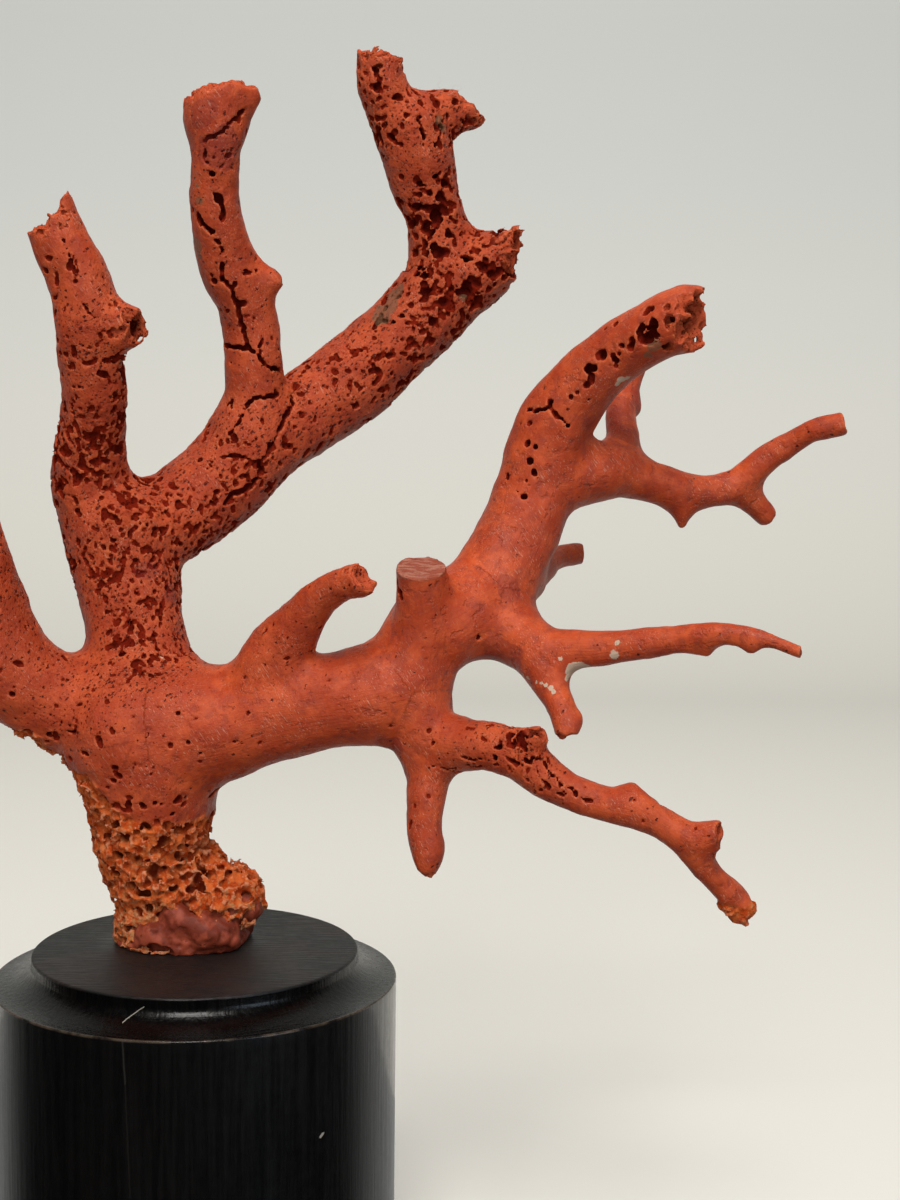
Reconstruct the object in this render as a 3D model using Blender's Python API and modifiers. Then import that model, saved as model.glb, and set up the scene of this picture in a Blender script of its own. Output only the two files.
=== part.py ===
"""A branch of red coral, set with red filler on a turned black wooden plinth.

The coral is modelled as tapering tubes along its branches, fused into one skin with lumps and pits,
and sawn at its main forks into separate pieces. Metres, +Z up, the origin at the middle of the
plinth's flat foot. The coral spreads along X, and -Y is its front.
"""

import math

import bmesh
import bpy
from mathutils import Matrix, Vector, noise

MM = 0.001

PLINTH_HEIGHT = 80 * MM
RIM_RADIUS = 45 * MM
RIM_EASE = 0.5 * MM
DISC_RADIUS = 36.3 * MM
DISC_EASE = 0.7 * MM
LIP_DEPTH = 1.6 * MM
COVE_DROP = 4.4 * MM
COVE_STEPS = 6
FOOT_EASE = 0.8 * MM
TURNED_STEPS = 48

FIT_GAP = 0.3 * MM
SAW_KERF = 0.3 * MM

FILLER_CENTRE = (-4.5 * MM, 6.5 * MM, 1.5 * MM)
FILLER_RADII = (16.0 * MM, 12.6 * MM, 9.5 * MM)
FILLER_STEPS = (20, 10)

TUBE_STEP = 1.5 * MM
TUBE_SIDES = 4
VOXEL = 0.85 * MM
FILLET_STEPS = 7
LUMP_SIZE = 7.5 * MM
LUMP_HEIGHT = 0.45 * MM
SPONGE_TOP = 34 * MM
SPONGE_FADE = 10 * MM
SPONGE_SIZE = 4.6 * MM
SPONGE_HEIGHT = 1.7 * MM
KEPT_SHARE = 0.0285
SHARP_ANGLE = math.radians(55)

# Stations along each branch: x, y, height above the plinth and radius, all in millimetres.
HUB = (-12.5, 0.0, 49.5, 17.8)
CROTCH = (-18.0, 9.0, 91.0, 13.0)
LEFT_FORK = (-53.5, -13.0, 105.5, 9.0)
STEM_FORK = (8.5, 23.0, 111.0, 11.0)
CROWN_FORK = (55.5, 43.0, 152.0, 10.8)
ARM_HUB = (46.0, -5.0, 60.5, 10.4)
SHOULDER = (64.5, 3.0, 79.5, 10.0)
SIDE_FORK = (123.0, 23.0, 105.0, 4.0)
CROWN_TOP = (46.0, 35.0, 186.5, 9.0)

STATIONS = {
    "foot": [
        (-6.5, 6.0, -3.0, 11.5), (-7.3, 6.0, 3.5, 12.4), (-6.8, 5.0, 11.0, 11.7),
        (-9.0, 4.0, 18.5, 12.7), (-10.5, 2.0, 26.0, 13.0), (-10.0, 1.0, 32.5, 14.2),
        (-10.5, 0.0, 40.0, 15.5), HUB,
    ],
    "foot_flange": [(-3.5, 5.0, 8.5, 11.2), (6.0, 3.0, 11.0, 8.8), (8.5, 3.0, 11.5, 6.8)],
    "left": [
        HUB, (-23.3, -1.0, 53.8, 11.8), (-32.0, -3.0, 57.2, 10.5), (-41.5, -6.0, 66.0, 10.8),
        (-46.3, -9.0, 79.3, 10.6), (-49.3, -12.0, 92.0, 9.9), LEFT_FORK,
    ],
    "left_upper": [
        LEFT_FORK, (-57.0, -10.0, 117.5, 7.2), (-57.0, -4.0, 130.5, 6.8),
        (-60.5, 2.0, 143.5, 6.0), (-64.5, 5.0, 154.5, 5.8),
    ],
    "left_outer": [
        LEFT_FORK, (-61.0, -20.0, 113.0, 6.8), (-66.0, -28.0, 123.0, 5.5),
        (-73.5, -33.0, 131.0, 4.5), (-79.0, -34.0, 141.0, 4.0),
    ],
    "left_prong": [(-66.0, -28.0, 123.0, 5.5), (-64.0, -36.0, 133.5, 4.0), (-59.5, -42.0, 141.0, 3.2)],
    "trunk": [
        HUB, (-12.5, 2.0, 58.0, 13.8), (-13.5, 4.0, 67.0, 11.4), (-15.0, 6.0, 75.5, 11.2),
        (-16.5, 8.0, 83.5, 12.0), CROTCH,
    ],
    "horn": [
        CROTCH, (-22.5, 9.0, 99.0, 10.2), (-24.5, 7.0, 105.0, 8.8), (-23.5, 3.0, 113.5, 7.8),
        (-21.5, -2.0, 122.5, 7.2), (-21.5, -6.0, 131.0, 7.0), (-21.0, -9.0, 137.5, 7.2),
        (-22.0, -10.0, 144.0, 6.8), (-24.0, -11.0, 150.0, 6.5), (-26.5, -12.0, 155.5, 6.1),
        (-31.5, -13.5, 168.0, 5.7),
    ],
    "horn_knob": [(-20.0, -9.0, 138.0, 6.0), (-15.0, -10.0, 138.0, 5.0), (-12.0, -11.0, 137.8, 4.4)],
    "diagonal": [
        CROTCH, (-10.5, 14.0, 94.2, 10.5), (-4.0, 18.0, 98.7, 10.4), (2.4, 21.0, 103.9, 10.7),
        STEM_FORK,
    ],
    "middle": [
        STEM_FORK, (10.5, 22.0, 122.0, 7.6), (10.5, 20.0, 131.0, 6.8), (10.0, 19.0, 139.0, 6.5),
        (8.8, 17.0, 145.5, 6.3), (6.2, 14.5, 151.2, 6.9), (4.8, 12.0, 156.0, 6.4),
        (4.0, 9.0, 161.5, 5.8), (3.5, 7.0, 167.5, 5.6), (4.0, 5.0, 173.0, 5.4),
        (4.3, 4.0, 178.5, 5.8), (4.3, 4.0, 183.5, 7.2), (5.2, 4.0, 188.2, 7.6),
    ],
    "middle_lobe": [(4.5, 4.0, 183.0, 5.2), (9.5, 3.0, 187.0, 4.0), (11.5, 3.0, 188.5, 3.2)],
    "middle_spur": [(9.5, 17.0, 146.5, 5.0), (13.5, 15.0, 149.0, 3.2), (16.5, 14.0, 150.0, 1.8)],
    "upper": [
        STEM_FORK, (16.0, 28.0, 116.3, 10.0), (23.5, 33.0, 121.6, 10.2), (32.0, 37.0, 128.1, 10.4),
        (40.5, 40.0, 136.0, 10.0), (49.0, 42.0, 144.5, 10.2), CROWN_FORK,
    ],
    "crown": [
        CROWN_FORK, (53.0, 42.0, 160.5, 8.0), (51.5, 40.0, 168.0, 7.4), (49.0, 38.0, 174.0, 8.0),
        (47.5, 36.0, 181.0, 8.8), CROWN_TOP,
    ],
    "crown_left": [
        CROWN_TOP, (41.5, 33.0, 191.0, 6.4),
        (39.0, 31.0, 195.5, 5.7), (38.4, 30.0, 203.2, 5.0),
    ],
    "crown_right": [
        CROWN_TOP, (50.5, 36.0, 190.0, 5.8),
        (54.5, 38.0, 192.3, 4.2), (60.0, 39.0, 192.6, 2.8),
    ],
    "crown_stub": [
        CROWN_FORK, (62.0, 42.0, 155.0, 8.8),
        (67.5, 40.0, 158.5, 6.0), (72.5, 38.0, 161.5, 3.4),
    ],
    "arm": [
        HUB, (-3.5, -1.0, 50.5, 15.0), (7.0, -3.0, 52.0, 12.5), (17.5, -5.0, 55.0, 11.0),
        (28.0, -6.0, 57.0, 10.3), (38.5, -6.0, 58.8, 11.2), ARM_HUB,
    ],
    "finger": [
        (14.0, -4.0, 56.5, 10.0), (18.5, -8.0, 67.5, 7.0), (23.5, -12.0, 75.0, 5.4),
        (28.0, -16.0, 80.5, 4.0), (33.0, -20.0, 84.0, 3.5), (38.0, -24.0, 86.0, 3.2),
    ],
    "stump": [ARM_HUB, (50.6, -8.0, 73.5, 6.8), (49.7, -12.0, 87.6, 5.7)],
    "shoulder": [ARM_HUB, (50.2, -4.0, 70.1, 9.6), (55.3, -2.0, 74.9, 10.6), SHOULDER],
    "branch": [
        SHOULDER, (68.5, 6.0, 88.0, 9.5), (72.5, 8.0, 97.0, 9.0), (75.5, 9.0, 106.0, 8.8),
        (77.5, 8.0, 114.9, 8.5), (82.3, 6.0, 123.7, 8.2), (88.4, 2.0, 130.8, 7.7),
        (94.2, -2.0, 136.3, 7.2), (100.0, -6.0, 139.5, 7.1), (106.5, -8.5, 141.4, 7.2),
    ],
    "side": [
        (75.5, 9.0, 106.0, 8.8), (87.0, 13.0, 107.5, 7.5), (94.0, 16.0, 107.5, 6.0),
        (101.5, 18.0, 105.5, 4.8), (109.5, 20.0, 103.5, 4.1), (117.5, 22.0, 103.5, 3.8), SIDE_FORK,
    ],
    "side_tip": [
        SIDE_FORK, (128.0, 22.0, 110.0, 3.1), (134.0, 20.0, 114.5, 2.7),
        (139.0, 17.0, 117.5, 2.5), (144.5, 15.0, 119.0, 2.8),
    ],
    "side_drop": [SIDE_FORK, (126.5, 25.0, 101.0, 3.0), (130.0, 27.0, 97.6, 2.6)],
    "side_thorn": [(107.0, 20.0, 102.5, 4.0), (109.0, 20.0, 99.0, 2.5), (109.5, 20.0, 95.4, 1.4)],
    "upper_twig": [
        (94.0, 16.0, 107.5, 6.0), (95.5, 21.0, 115.0, 4.1), (95.5, 26.0, 121.0, 3.4),
        (97.0, 31.0, 127.0, 3.2), (99.5, 35.0, 133.0, 2.8), (102.0, 38.0, 139.5, 2.6),
    ],
    "rear_twig": [
        (73.0, 10.0, 83.0, 5.0), (79.0, 22.0, 86.5, 3.0),
        (83.0, 28.0, 87.4, 2.7), (87.2, 31.0, 87.6, 2.6),
    ],
    "twig": [
        SHOULDER, (70.5, -2.0, 72.3, 7.0), (75.7, -7.0, 69.6, 5.6), (80.5, -10.0, 70.0, 4.4),
        (88.5, -13.0, 70.5, 3.9), (96.5, -16.0, 72.0, 3.5), (105.0, -19.0, 73.5, 3.5),
        (109.5, -21.0, 74.5, 3.2), (114.0, -23.0, 75.5, 2.6), (119.0, -24.0, 74.0, 2.4),
        (124.0, -26.0, 74.0, 2.1), (128.0, -28.0, 72.3, 1.8),
    ],
    "prong": [
        (75.5, -7.0, 68.5, 6.0), (78.5, -12.0, 62.0, 3.7),
        (80.0, -15.5, 58.0, 3.2), (81.2, -18.0, 53.4, 2.7),
    ],
    "lower": [
        ARM_HUB, (52.2, -9.0, 50.8, 6.2), (58.5, -12.0, 49.3, 5.7), (64.5, -15.0, 49.4, 5.2),
        (70.0, -18.0, 48.5, 5.2), (75.5, -21.0, 45.0, 4.7), (81.5, -23.0, 41.5, 4.2),
        (88.0, -25.0, 39.5, 3.8), (94.5, -27.0, 39.0, 4.0), (101.0, -28.0, 36.0, 3.3),
        (107.0, -29.0, 33.0, 3.5), (112.0, -31.0, 34.7, 2.8),
    ],
    "lower_spur": [(69.5, -18.0, 49.0, 4.8), (73.0, -21.5, 52.0, 2.8), (75.8, -24.0, 53.6, 2.1)],
    "tail": [
        (106.5, -29.0, 33.0, 3.4), (108.5, -28.0, 28.5, 3.0), (112.0, -26.0, 24.0, 2.8),
        (116.0, -24.0, 20.0, 3.0), (119.3, -22.0, 15.2, 3.0),
    ],
    "hang": [
        ARM_HUB, (50.3, -7.0, 50.6, 7.2), (52.0, -9.0, 42.5, 4.9), (51.5, -11.0, 37.0, 4.2),
        (51.0, -12.0, 31.0, 4.0), (52.0, -13.0, 26.0, 3.6), (52.0, -14.0, 22.6, 2.2),
    ],
}

# Saw cuts at the forks: centre (x, y, height above the plinth), direction across the cut, radius; mm.
FORK_CUTS = {
    "left_branch": ((-26.5, -1.2, 54.4), (-1.0, 0.0, 0.1), 14.0),
    "left_upper_tip": ((-57.0, -9.0, 119.5), (0.0, 0.2, 1.0), 8.4),
    "left_outer_tip": ((-63.5, -24.0, 118.0), (-0.45, -0.7, 0.75), 7.4),
    "trunk": ((-13.6, 3.8, 67.0), (0.0, 0.1, 1.0), 13.0),
    "left_horn": ((-23.6, 8.2, 102.7), (-0.15, -0.15, 1.0), 11.0),
    "diagonal_limb": ((-8.1, 14.8, 94.7), (0.914, 0.2, 0.406), 12.6),
    "middle_stem": ((9.4, 21.2, 124.5), (-0.543, -0.1, 0.84), 10.8),
    "upper_limb": ((22.6, 32.0, 120.8), (0.76, 0.35, 0.57), 12.0),
    "crown": ((52.8, 42.0, 159.4), (-0.457, 0.0, 0.889), 10.6),
    "crown_stub": ((64.6, 41.7, 155.7), (0.95, -0.15, 0.3), 9.4),
    "right_arm": ((3.8, -1.8, 51.2), (0.965, 0.0, 0.26), 15.6),
    "arm_finger": ((18.8, -8.4, 68.9), (0.18, -0.3, 0.98), 8.4),
    "right_branch": ((57.4, -0.7, 75.5), (1.0, 0.0, 0.05), 13.2),
    "side_branch": ((85.8, 12.4, 107.0), (0.945, 0.2, -0.325), 9.4),
    "side_tip": ((125.2, 22.6, 107.2), (0.7, -0.1, 0.7), 4.6),
    "upper_twig": ((95.0, 19.7, 113.0), (0.05, 0.55, 0.85), 5.6),
    "rear_twig": ((77.8, 20.0, 85.9), (0.45, 0.85, 0.2), 4.6),
    "middle_twig": ((71.8, -3.4, 71.6), (0.96, -0.2, -0.28), 9.8),
    "middle_prong": ((77.6, -10.6, 63.8), (0.2, -0.45, -0.9), 5.4),
    "lower_branch": ((58.4, -12.0, 49.2), (1.0, -0.35, -0.1), 7.6),
    "lower_tail": ((108.6, -28.0, 28.6), (0.4, 0.25, -0.88), 4.8),
    "hanging_stub": ((52.2, -9.0, 42.4), (0.0, -0.15, -1.0), 6.2),
}
# Slanted breaks at the tips: a point on the broken face and the direction it faces, in millimetres.
BREAKS = {"horn": ((-28.9, -13.0, 160.6), (-0.74, -0.15, 0.67))}
BREAK_BLOCK = 16 * MM
ROUND_ENDS = ("foot_flange", "hang", "twig", "side_drop", "side_thorn", "middle_spur", "crown_right")
# A point well inside the one piece that no cut names.
FOOT_MARK = (-10.0, 2.0, 27.0)
MARK_BEYOND_CUT = 3 * MM
MARK_REACH = 14 * MM

SKIN = (0.56, 0.10, 0.045, 1.0)
PITTED = (0.50, 0.105, 0.045, 1.0)
SPONGE = (0.62, 0.19, 0.07, 1.0)
WAX = (0.50, 0.11, 0.08, 1.0)
BLACK_WOOD = (0.012, 0.011, 0.013, 1.0)
PITTED_PIECES = (
    "trunk", "left_horn", "diagonal_limb", "upper_limb", "crown", "crown_stub", "middle_stem",
    "left_branch", "left_upper_tip", "left_outer_tip",
)


def clear_scene():
    """Removes every object, so that the script starts from nothing."""
    for obj in list(bpy.data.objects):
        bpy.data.objects.remove(obj, do_unlink=True)


def new_collection(name):
    collection = bpy.data.collections.new(name)
    bpy.context.scene.collection.children.link(collection)
    return collection


def new_material(name, colour, roughness):
    material = bpy.data.materials.new(name)
    material.use_nodes = True
    shader = material.node_tree.nodes["Principled BSDF"]
    shader.inputs["Base Color"].default_value = colour
    shader.inputs["Roughness"].default_value = roughness
    shader.inputs["Metallic"].default_value = 0.0
    return material


def new_object(name, mesh, collection):
    obj = bpy.data.objects.new(name, mesh)
    collection.objects.link(obj)
    return obj


def mesh_from(work, name):
    mesh = bpy.data.meshes.new(name)
    work.to_mesh(mesh)
    work.free()
    return mesh


def evaluated_mesh(obj):
    """The object's mesh with its modifiers applied."""
    graph = bpy.context.evaluated_depsgraph_get()
    return bpy.data.meshes.new_from_object(obj.evaluated_get(graph))


def finish(obj, colour, roughness):
    obj.data.materials.clear()
    obj.data.materials.append(new_material(obj.name + "_finish", colour, roughness))
    obj.data.shade_smooth()
    obj.data.set_sharp_from_angle(angle=SHARP_ANGLE)


def above_plinth(point):
    """A point given in millimetres above the plinth, in metres above the plinth's foot."""
    x, y, z = point[:3]
    return Vector((x * MM, y * MM, PLINTH_HEIGHT + z * MM))


def plinth_profile():
    """The turned outline from the middle of the top, down the outer side, to the middle of the foot."""
    top = PLINTH_HEIGHT
    points = [(0.0, top), (DISC_RADIUS - DISC_EASE, top), (DISC_RADIUS, top - DISC_EASE)]
    cove_width = RIM_RADIUS - RIM_EASE - DISC_RADIUS
    for step in range(COVE_STEPS + 1):
        turn = 0.5 * math.pi * step / COVE_STEPS
        across = DISC_RADIUS + cove_width * (1 - math.cos(turn))
        points.append((across, top - LIP_DEPTH - COVE_DROP * math.sin(turn)))
    rim = top - LIP_DEPTH - COVE_DROP
    points += [(RIM_RADIUS, rim - RIM_EASE), (RIM_RADIUS, FOOT_EASE)]
    points += [(RIM_RADIUS - FOOT_EASE, 0.0), (0.0, 0.0)]
    return points


def make_plinth(collection):
    mesh = bpy.data.meshes.new("plinth")
    profile = plinth_profile()
    edges = [(i, i + 1) for i in range(len(profile) - 1)]
    mesh.from_pydata([(x, 0.0, z) for x, z in profile], edges, [])
    obj = new_object("plinth", mesh, collection)
    screw = obj.modifiers.new("turned", "SCREW")
    screw.steps = TURNED_STEPS
    screw.render_steps = TURNED_STEPS
    screw.use_merge_vertices = True
    screw.merge_threshold = 0.00001
    obj.data = evaluated_mesh(obj)
    obj.modifiers.clear()
    finish(obj, BLACK_WOOD, 0.35)
    return obj


def filler_lump(name, grow, collection):
    """The squashed ball of filler, cut flat just above the plinth; grow makes it larger all round."""
    work = bmesh.new()
    columns, rows = FILLER_STEPS
    radii = [radius + grow for radius in FILLER_RADII]
    centre = Vector(FILLER_CENTRE) + Vector((0, 0, PLINTH_HEIGHT))
    place = Matrix.Translation(centre) @ Matrix.Diagonal((*radii, 1.0))
    bmesh.ops.create_uvsphere(work, u_segments=columns, v_segments=rows, radius=1.0, matrix=place)
    bottom = Vector((0, 0, PLINTH_HEIGHT + FIT_GAP - grow))
    everything = work.verts[:] + work.edges[:] + work.faces[:]
    bmesh.ops.bisect_plane(
        work, geom=everything, plane_co=bottom, plane_no=(0, 0, -1), clear_outer=True
    )
    open_edges = [edge for edge in work.edges if edge.is_boundary]
    bmesh.ops.contextual_create(work, geom=open_edges)
    bmesh.ops.recalc_face_normals(work, faces=work.faces)
    return new_object(name, mesh_from(work, name), collection)


def between(stations, index, share):
    """The station at a share of the way from one station to the next, on a smooth curve through all."""
    count = len(stations)
    before, start, end, after = (
        Vector(stations[min(max(index + step, 0), count - 1)]) for step in (-1, 0, 1, 2)
    )
    square, cube = share * share, share ** 3
    return 0.5 * (
        2 * start
        + (end - before) * share
        + (2 * before - 5 * start + 4 * end - after) * square
        + (3 * start - before - 3 * end + after) * cube
    )


def smooth_run(stations):
    """Closely spaced (point, radius) pairs along the curve through the stations."""
    run = []
    for index in range(len(stations) - 1):
        gap = (Vector(stations[index + 1][:3]) - Vector(stations[index][:3])).length * MM
        pieces = max(1, round(gap / TUBE_STEP))
        run += [between(stations, index, piece / pieces) for piece in range(pieces)]
    run.append(Vector(stations[-1]))
    return [(above_plinth(station), station[3]) for station in run]


def branch_tubes(collection):
    """One curve object with a tapering tube for every branch."""
    curve = bpy.data.curves.new("branch_tubes", "CURVE")
    curve.dimensions = "3D"
    curve.bevel_depth = MM
    curve.bevel_resolution = TUBE_SIDES
    curve.use_fill_caps = True
    for stations in STATIONS.values():
        run = smooth_run(stations)
        spline = curve.splines.new("POLY")
        spline.points.add(len(run) - 1)
        for place, (point, radius) in zip(spline.points, run):
            place.co = (*point, 1.0)
            place.radius = radius
    return new_object("branch_tubes", curve, collection)


def fused_coral(collection):
    """The tubes, with a ball at each root and round end, fused into one skin and eased at the forks."""
    tubes = branch_tubes(collection)
    work = bmesh.new()
    work.from_mesh(evaluated_mesh(tubes))
    bmesh.ops.remove_doubles(work, verts=work.verts, dist=0.01 * MM)
    balls = [stations[0] for stations in STATIONS.values()]
    balls += [STATIONS[name][-1] for name in ROUND_ENDS]
    for ball in balls:
        place = Matrix.Translation(above_plinth(ball))
        bmesh.ops.create_uvsphere(work, u_segments=16, v_segments=10, radius=ball[3] * MM, matrix=place)
    bpy.data.objects.remove(tubes)
    obj = new_object("coral", mesh_from(work, "coral"), collection)
    remesh = obj.modifiers.new("fused", "REMESH")
    remesh.mode = "VOXEL"
    remesh.voxel_size = VOXEL
    smooth = obj.modifiers.new("fillets", "SMOOTH")
    smooth.iterations = FILLET_STEPS
    obj.data = evaluated_mesh(obj)
    obj.modifiers.clear()
    return obj


def lump_height(point):
    """How far the skin stands out at a point: low lumps all over, and deep pits low on the foot."""
    lumps = LUMP_HEIGHT * noise.noise(point / LUMP_SIZE)
    low = (SPONGE_TOP + PLINTH_HEIGHT - point.z) / SPONGE_FADE
    spongy = min(max(low, 0.0), 1.0)
    pits = SPONGE_HEIGHT * noise.noise(point / SPONGE_SIZE)
    return lumps + spongy * pits


def roughen(mesh):
    """Moves each vertex along its normal by the height of the lumps there."""
    moved = [v.co + v.normal * lump_height(v.co) for v in mesh.vertices]
    for vertex, place in zip(mesh.vertices, moved):
        vertex.co = place


def cutter(name, work, collection):
    obj = new_object(name, mesh_from(work, name), collection)
    obj.hide_render = True
    obj.display_type = "WIRE"
    return obj


def saw_cut(name, centre, across, radius, collection):
    """A thin disc at a fork, facing across the cut."""
    work = bmesh.new()
    turn = Vector((0, 0, 1)).rotation_difference(Vector(across)).to_matrix().to_4x4()
    place = Matrix.Translation(above_plinth(centre)) @ turn
    bmesh.ops.create_cone(
        work, cap_ends=True, segments=32, radius1=radius * MM, radius2=radius * MM,
        depth=SAW_KERF, matrix=place,
    )
    return cutter("cut_" + name, work, collection)


def ground_cut(collection):
    """A block whose top face is just above the plinth's top, where the coral's foot ends."""
    work = bmesh.new()
    depth = 20 * MM
    middle = Vector((0, 0, PLINTH_HEIGHT + FIT_GAP - depth / 2))
    place = Matrix.Translation(middle) @ Matrix.Diagonal((3 * depth, 3 * depth, depth, 1.0))
    bmesh.ops.create_cube(work, size=1.0, matrix=place)
    return cutter("cut_ground", work, collection)


def break_block(name, point, facing, collection):
    """A block that takes off the end of a branch beyond its broken face."""
    work = bmesh.new()
    turn = Vector((0, 0, 1)).rotation_difference(Vector(facing)).to_matrix().to_4x4()
    outward = Vector(facing).normalized() * BREAK_BLOCK / 2
    place = Matrix.Translation(above_plinth(point) + outward) @ turn
    bmesh.ops.create_cube(work, size=BREAK_BLOCK, matrix=place)
    return cutter("break_" + name, work, collection)


def subtract(obj, tool):
    cut = obj.modifiers.new(tool.name, "BOOLEAN")
    cut.operation = "DIFFERENCE"
    cut.solver = "EXACT"
    cut.object = tool


def loose_pieces(obj):
    """Parts the object's mesh where it no longer holds together, and returns the pieces."""
    before = set(bpy.data.objects)
    bpy.context.view_layer.objects.active = obj
    obj.select_set(True)
    bpy.ops.object.mode_set(mode="EDIT")
    bpy.ops.mesh.select_all(action="SELECT")
    bpy.ops.mesh.separate(type="LOOSE")
    bpy.ops.object.mode_set(mode="OBJECT")
    return [obj] + [found for found in bpy.data.objects if found not in before]


def distance_to(obj, point):
    return min((vertex.co - point).length for vertex in obj.data.vertices)


def piece_marks():
    """A point on the far side of each cut, which tells which piece is which."""
    marks = {"coral_foot": above_plinth(FOOT_MARK)}
    for name, (centre, across, _) in FORK_CUTS.items():
        marks[name] = above_plinth(centre) + Vector(across).normalized() * MARK_BEYOND_CUT
    return marks


def encloses(obj, point):
    """Whether the point is inside the closed mesh: a ray from it meets the mesh an odd number of times."""
    direction = Vector((0.31, 0.87, 0.38)).normalized()
    start, hits = point.copy(), 0
    while True:
        hit, place, _, _ = obj.ray_cast(start, direction)
        if not hit:
            return hits % 2 == 1
        hits += 1
        start = place + direction * 0.001 * MM


def name_pieces(pieces):
    """Names each piece after the mark that it encloses, and drops saw crumbs."""
    bpy.context.view_layer.update()
    named = []
    marks = piece_marks()
    for piece in pieces:
        inside = [name for name, mark in marks.items() if encloses(piece, mark)]
        if len(inside) == 1:
            piece.name = inside[0]
            piece.data.name = inside[0]
            named.append(piece)
        elif inside:
            raise ValueError(f"one piece holds {inside}: a saw cut between them is too small")
        else:
            bpy.data.objects.remove(piece)
    missing = set(marks) - {piece.name for piece in named}
    if missing:
        raise ValueError(f"no piece holds {sorted(missing)}")
    return named


def colour_of(name):
    if name == "coral_foot":
        return SPONGE
    return PITTED if name in PITTED_PIECES else SKIN


def make_coral(collection, cutters, filler_space):
    obj = fused_coral(collection)
    roughen(obj.data)
    fewer = obj.modifiers.new("fewer_faces", "DECIMATE")
    fewer.ratio = KEPT_SHARE
    fewer.use_collapse_triangulate = True
    obj.data = evaluated_mesh(obj)
    obj.modifiers.clear()
    subtract(obj, ground_cut(cutters))
    subtract(obj, filler_space)
    for name, (point, facing) in BREAKS.items():
        subtract(obj, break_block(name, point, facing, cutters))
    for name, (centre, across, radius) in FORK_CUTS.items():
        subtract(obj, saw_cut(name, centre, across, radius, cutters))
    obj.data = evaluated_mesh(obj)
    obj.modifiers.clear()
    for piece in name_pieces(loose_pieces(obj)):
        finish(piece, colour_of(piece.name), 0.55)


def main():
    clear_scene()
    parts = new_collection("Mounted_Coral")
    cutters = new_collection("Cutters")
    make_plinth(parts)
    filler = filler_lump("foot_filler", 0.0, parts)
    finish(filler, WAX, 0.35)
    filler_space = filler_lump("cut_filler", FIT_GAP, cutters)
    filler_space.hide_render = True
    filler_space.display_type = "WIRE"
    make_coral(parts, cutters, filler_space)


main()
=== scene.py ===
"""A branch of red coral, set with red wax on a turned black wooden plinth.

The coral's skin is the zero level of a field on one fine lattice: tapering tubes along the branches,
blended where they meet, then lumped, broken, bored and cracked. One mesh is drawn over that level and
parted at the forks, so that every piece stands for its own solid. The plinth is a turned profile.
Lengths are millimetres above the plinth's top until a mesh is made; meshes are in metres, +Z up.
"""

import logging
import math
from collections.abc import Callable
from concurrent.futures import ThreadPoolExecutor
from dataclasses import dataclass, field
from enum import Enum

import bpy
import numpy as np
from mathutils import Matrix, Vector


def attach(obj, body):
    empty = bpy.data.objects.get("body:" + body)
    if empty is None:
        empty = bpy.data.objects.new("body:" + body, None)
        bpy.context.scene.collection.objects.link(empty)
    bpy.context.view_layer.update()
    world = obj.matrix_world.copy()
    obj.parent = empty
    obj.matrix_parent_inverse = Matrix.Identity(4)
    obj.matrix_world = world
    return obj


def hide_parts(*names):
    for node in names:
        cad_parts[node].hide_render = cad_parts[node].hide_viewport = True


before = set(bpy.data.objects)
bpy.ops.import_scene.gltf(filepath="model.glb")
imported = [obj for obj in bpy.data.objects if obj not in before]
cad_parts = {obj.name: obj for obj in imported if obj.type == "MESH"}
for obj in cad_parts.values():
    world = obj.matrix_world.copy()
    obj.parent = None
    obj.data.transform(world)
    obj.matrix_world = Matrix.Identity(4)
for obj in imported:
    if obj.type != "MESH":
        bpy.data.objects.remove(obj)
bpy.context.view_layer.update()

LOG = logging.getLogger("mounted_coral")
MM = 0.001
PLINTH_HEIGHT = 80.0
SEED = 7

Array = np.ndarray
Station = tuple[float, float, float, float]
Point = tuple[float, float, float]
Colour = tuple[float, float, float, float]

HUB = (-12.5, 0.0, 49.5, 17.8)
CROTCH = (-18.0, 9.0, 91.0, 13.0)
LEFT_FORK = (-53.5, -13.0, 105.5, 9.0)
STEM_FORK = (8.5, 23.0, 111.0, 11.0)
CROWN_FORK = (55.5, 43.0, 152.0, 10.8)
ARM_HUB = (46.0, -5.0, 60.5, 10.4)
SHOULDER = (64.5, 3.0, 79.5, 10.0)
SIDE_FORK = (123.0, 23.0, 105.0, 4.0)
CROWN_TOP = (46.0, 35.0, 186.5, 9.0)

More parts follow.
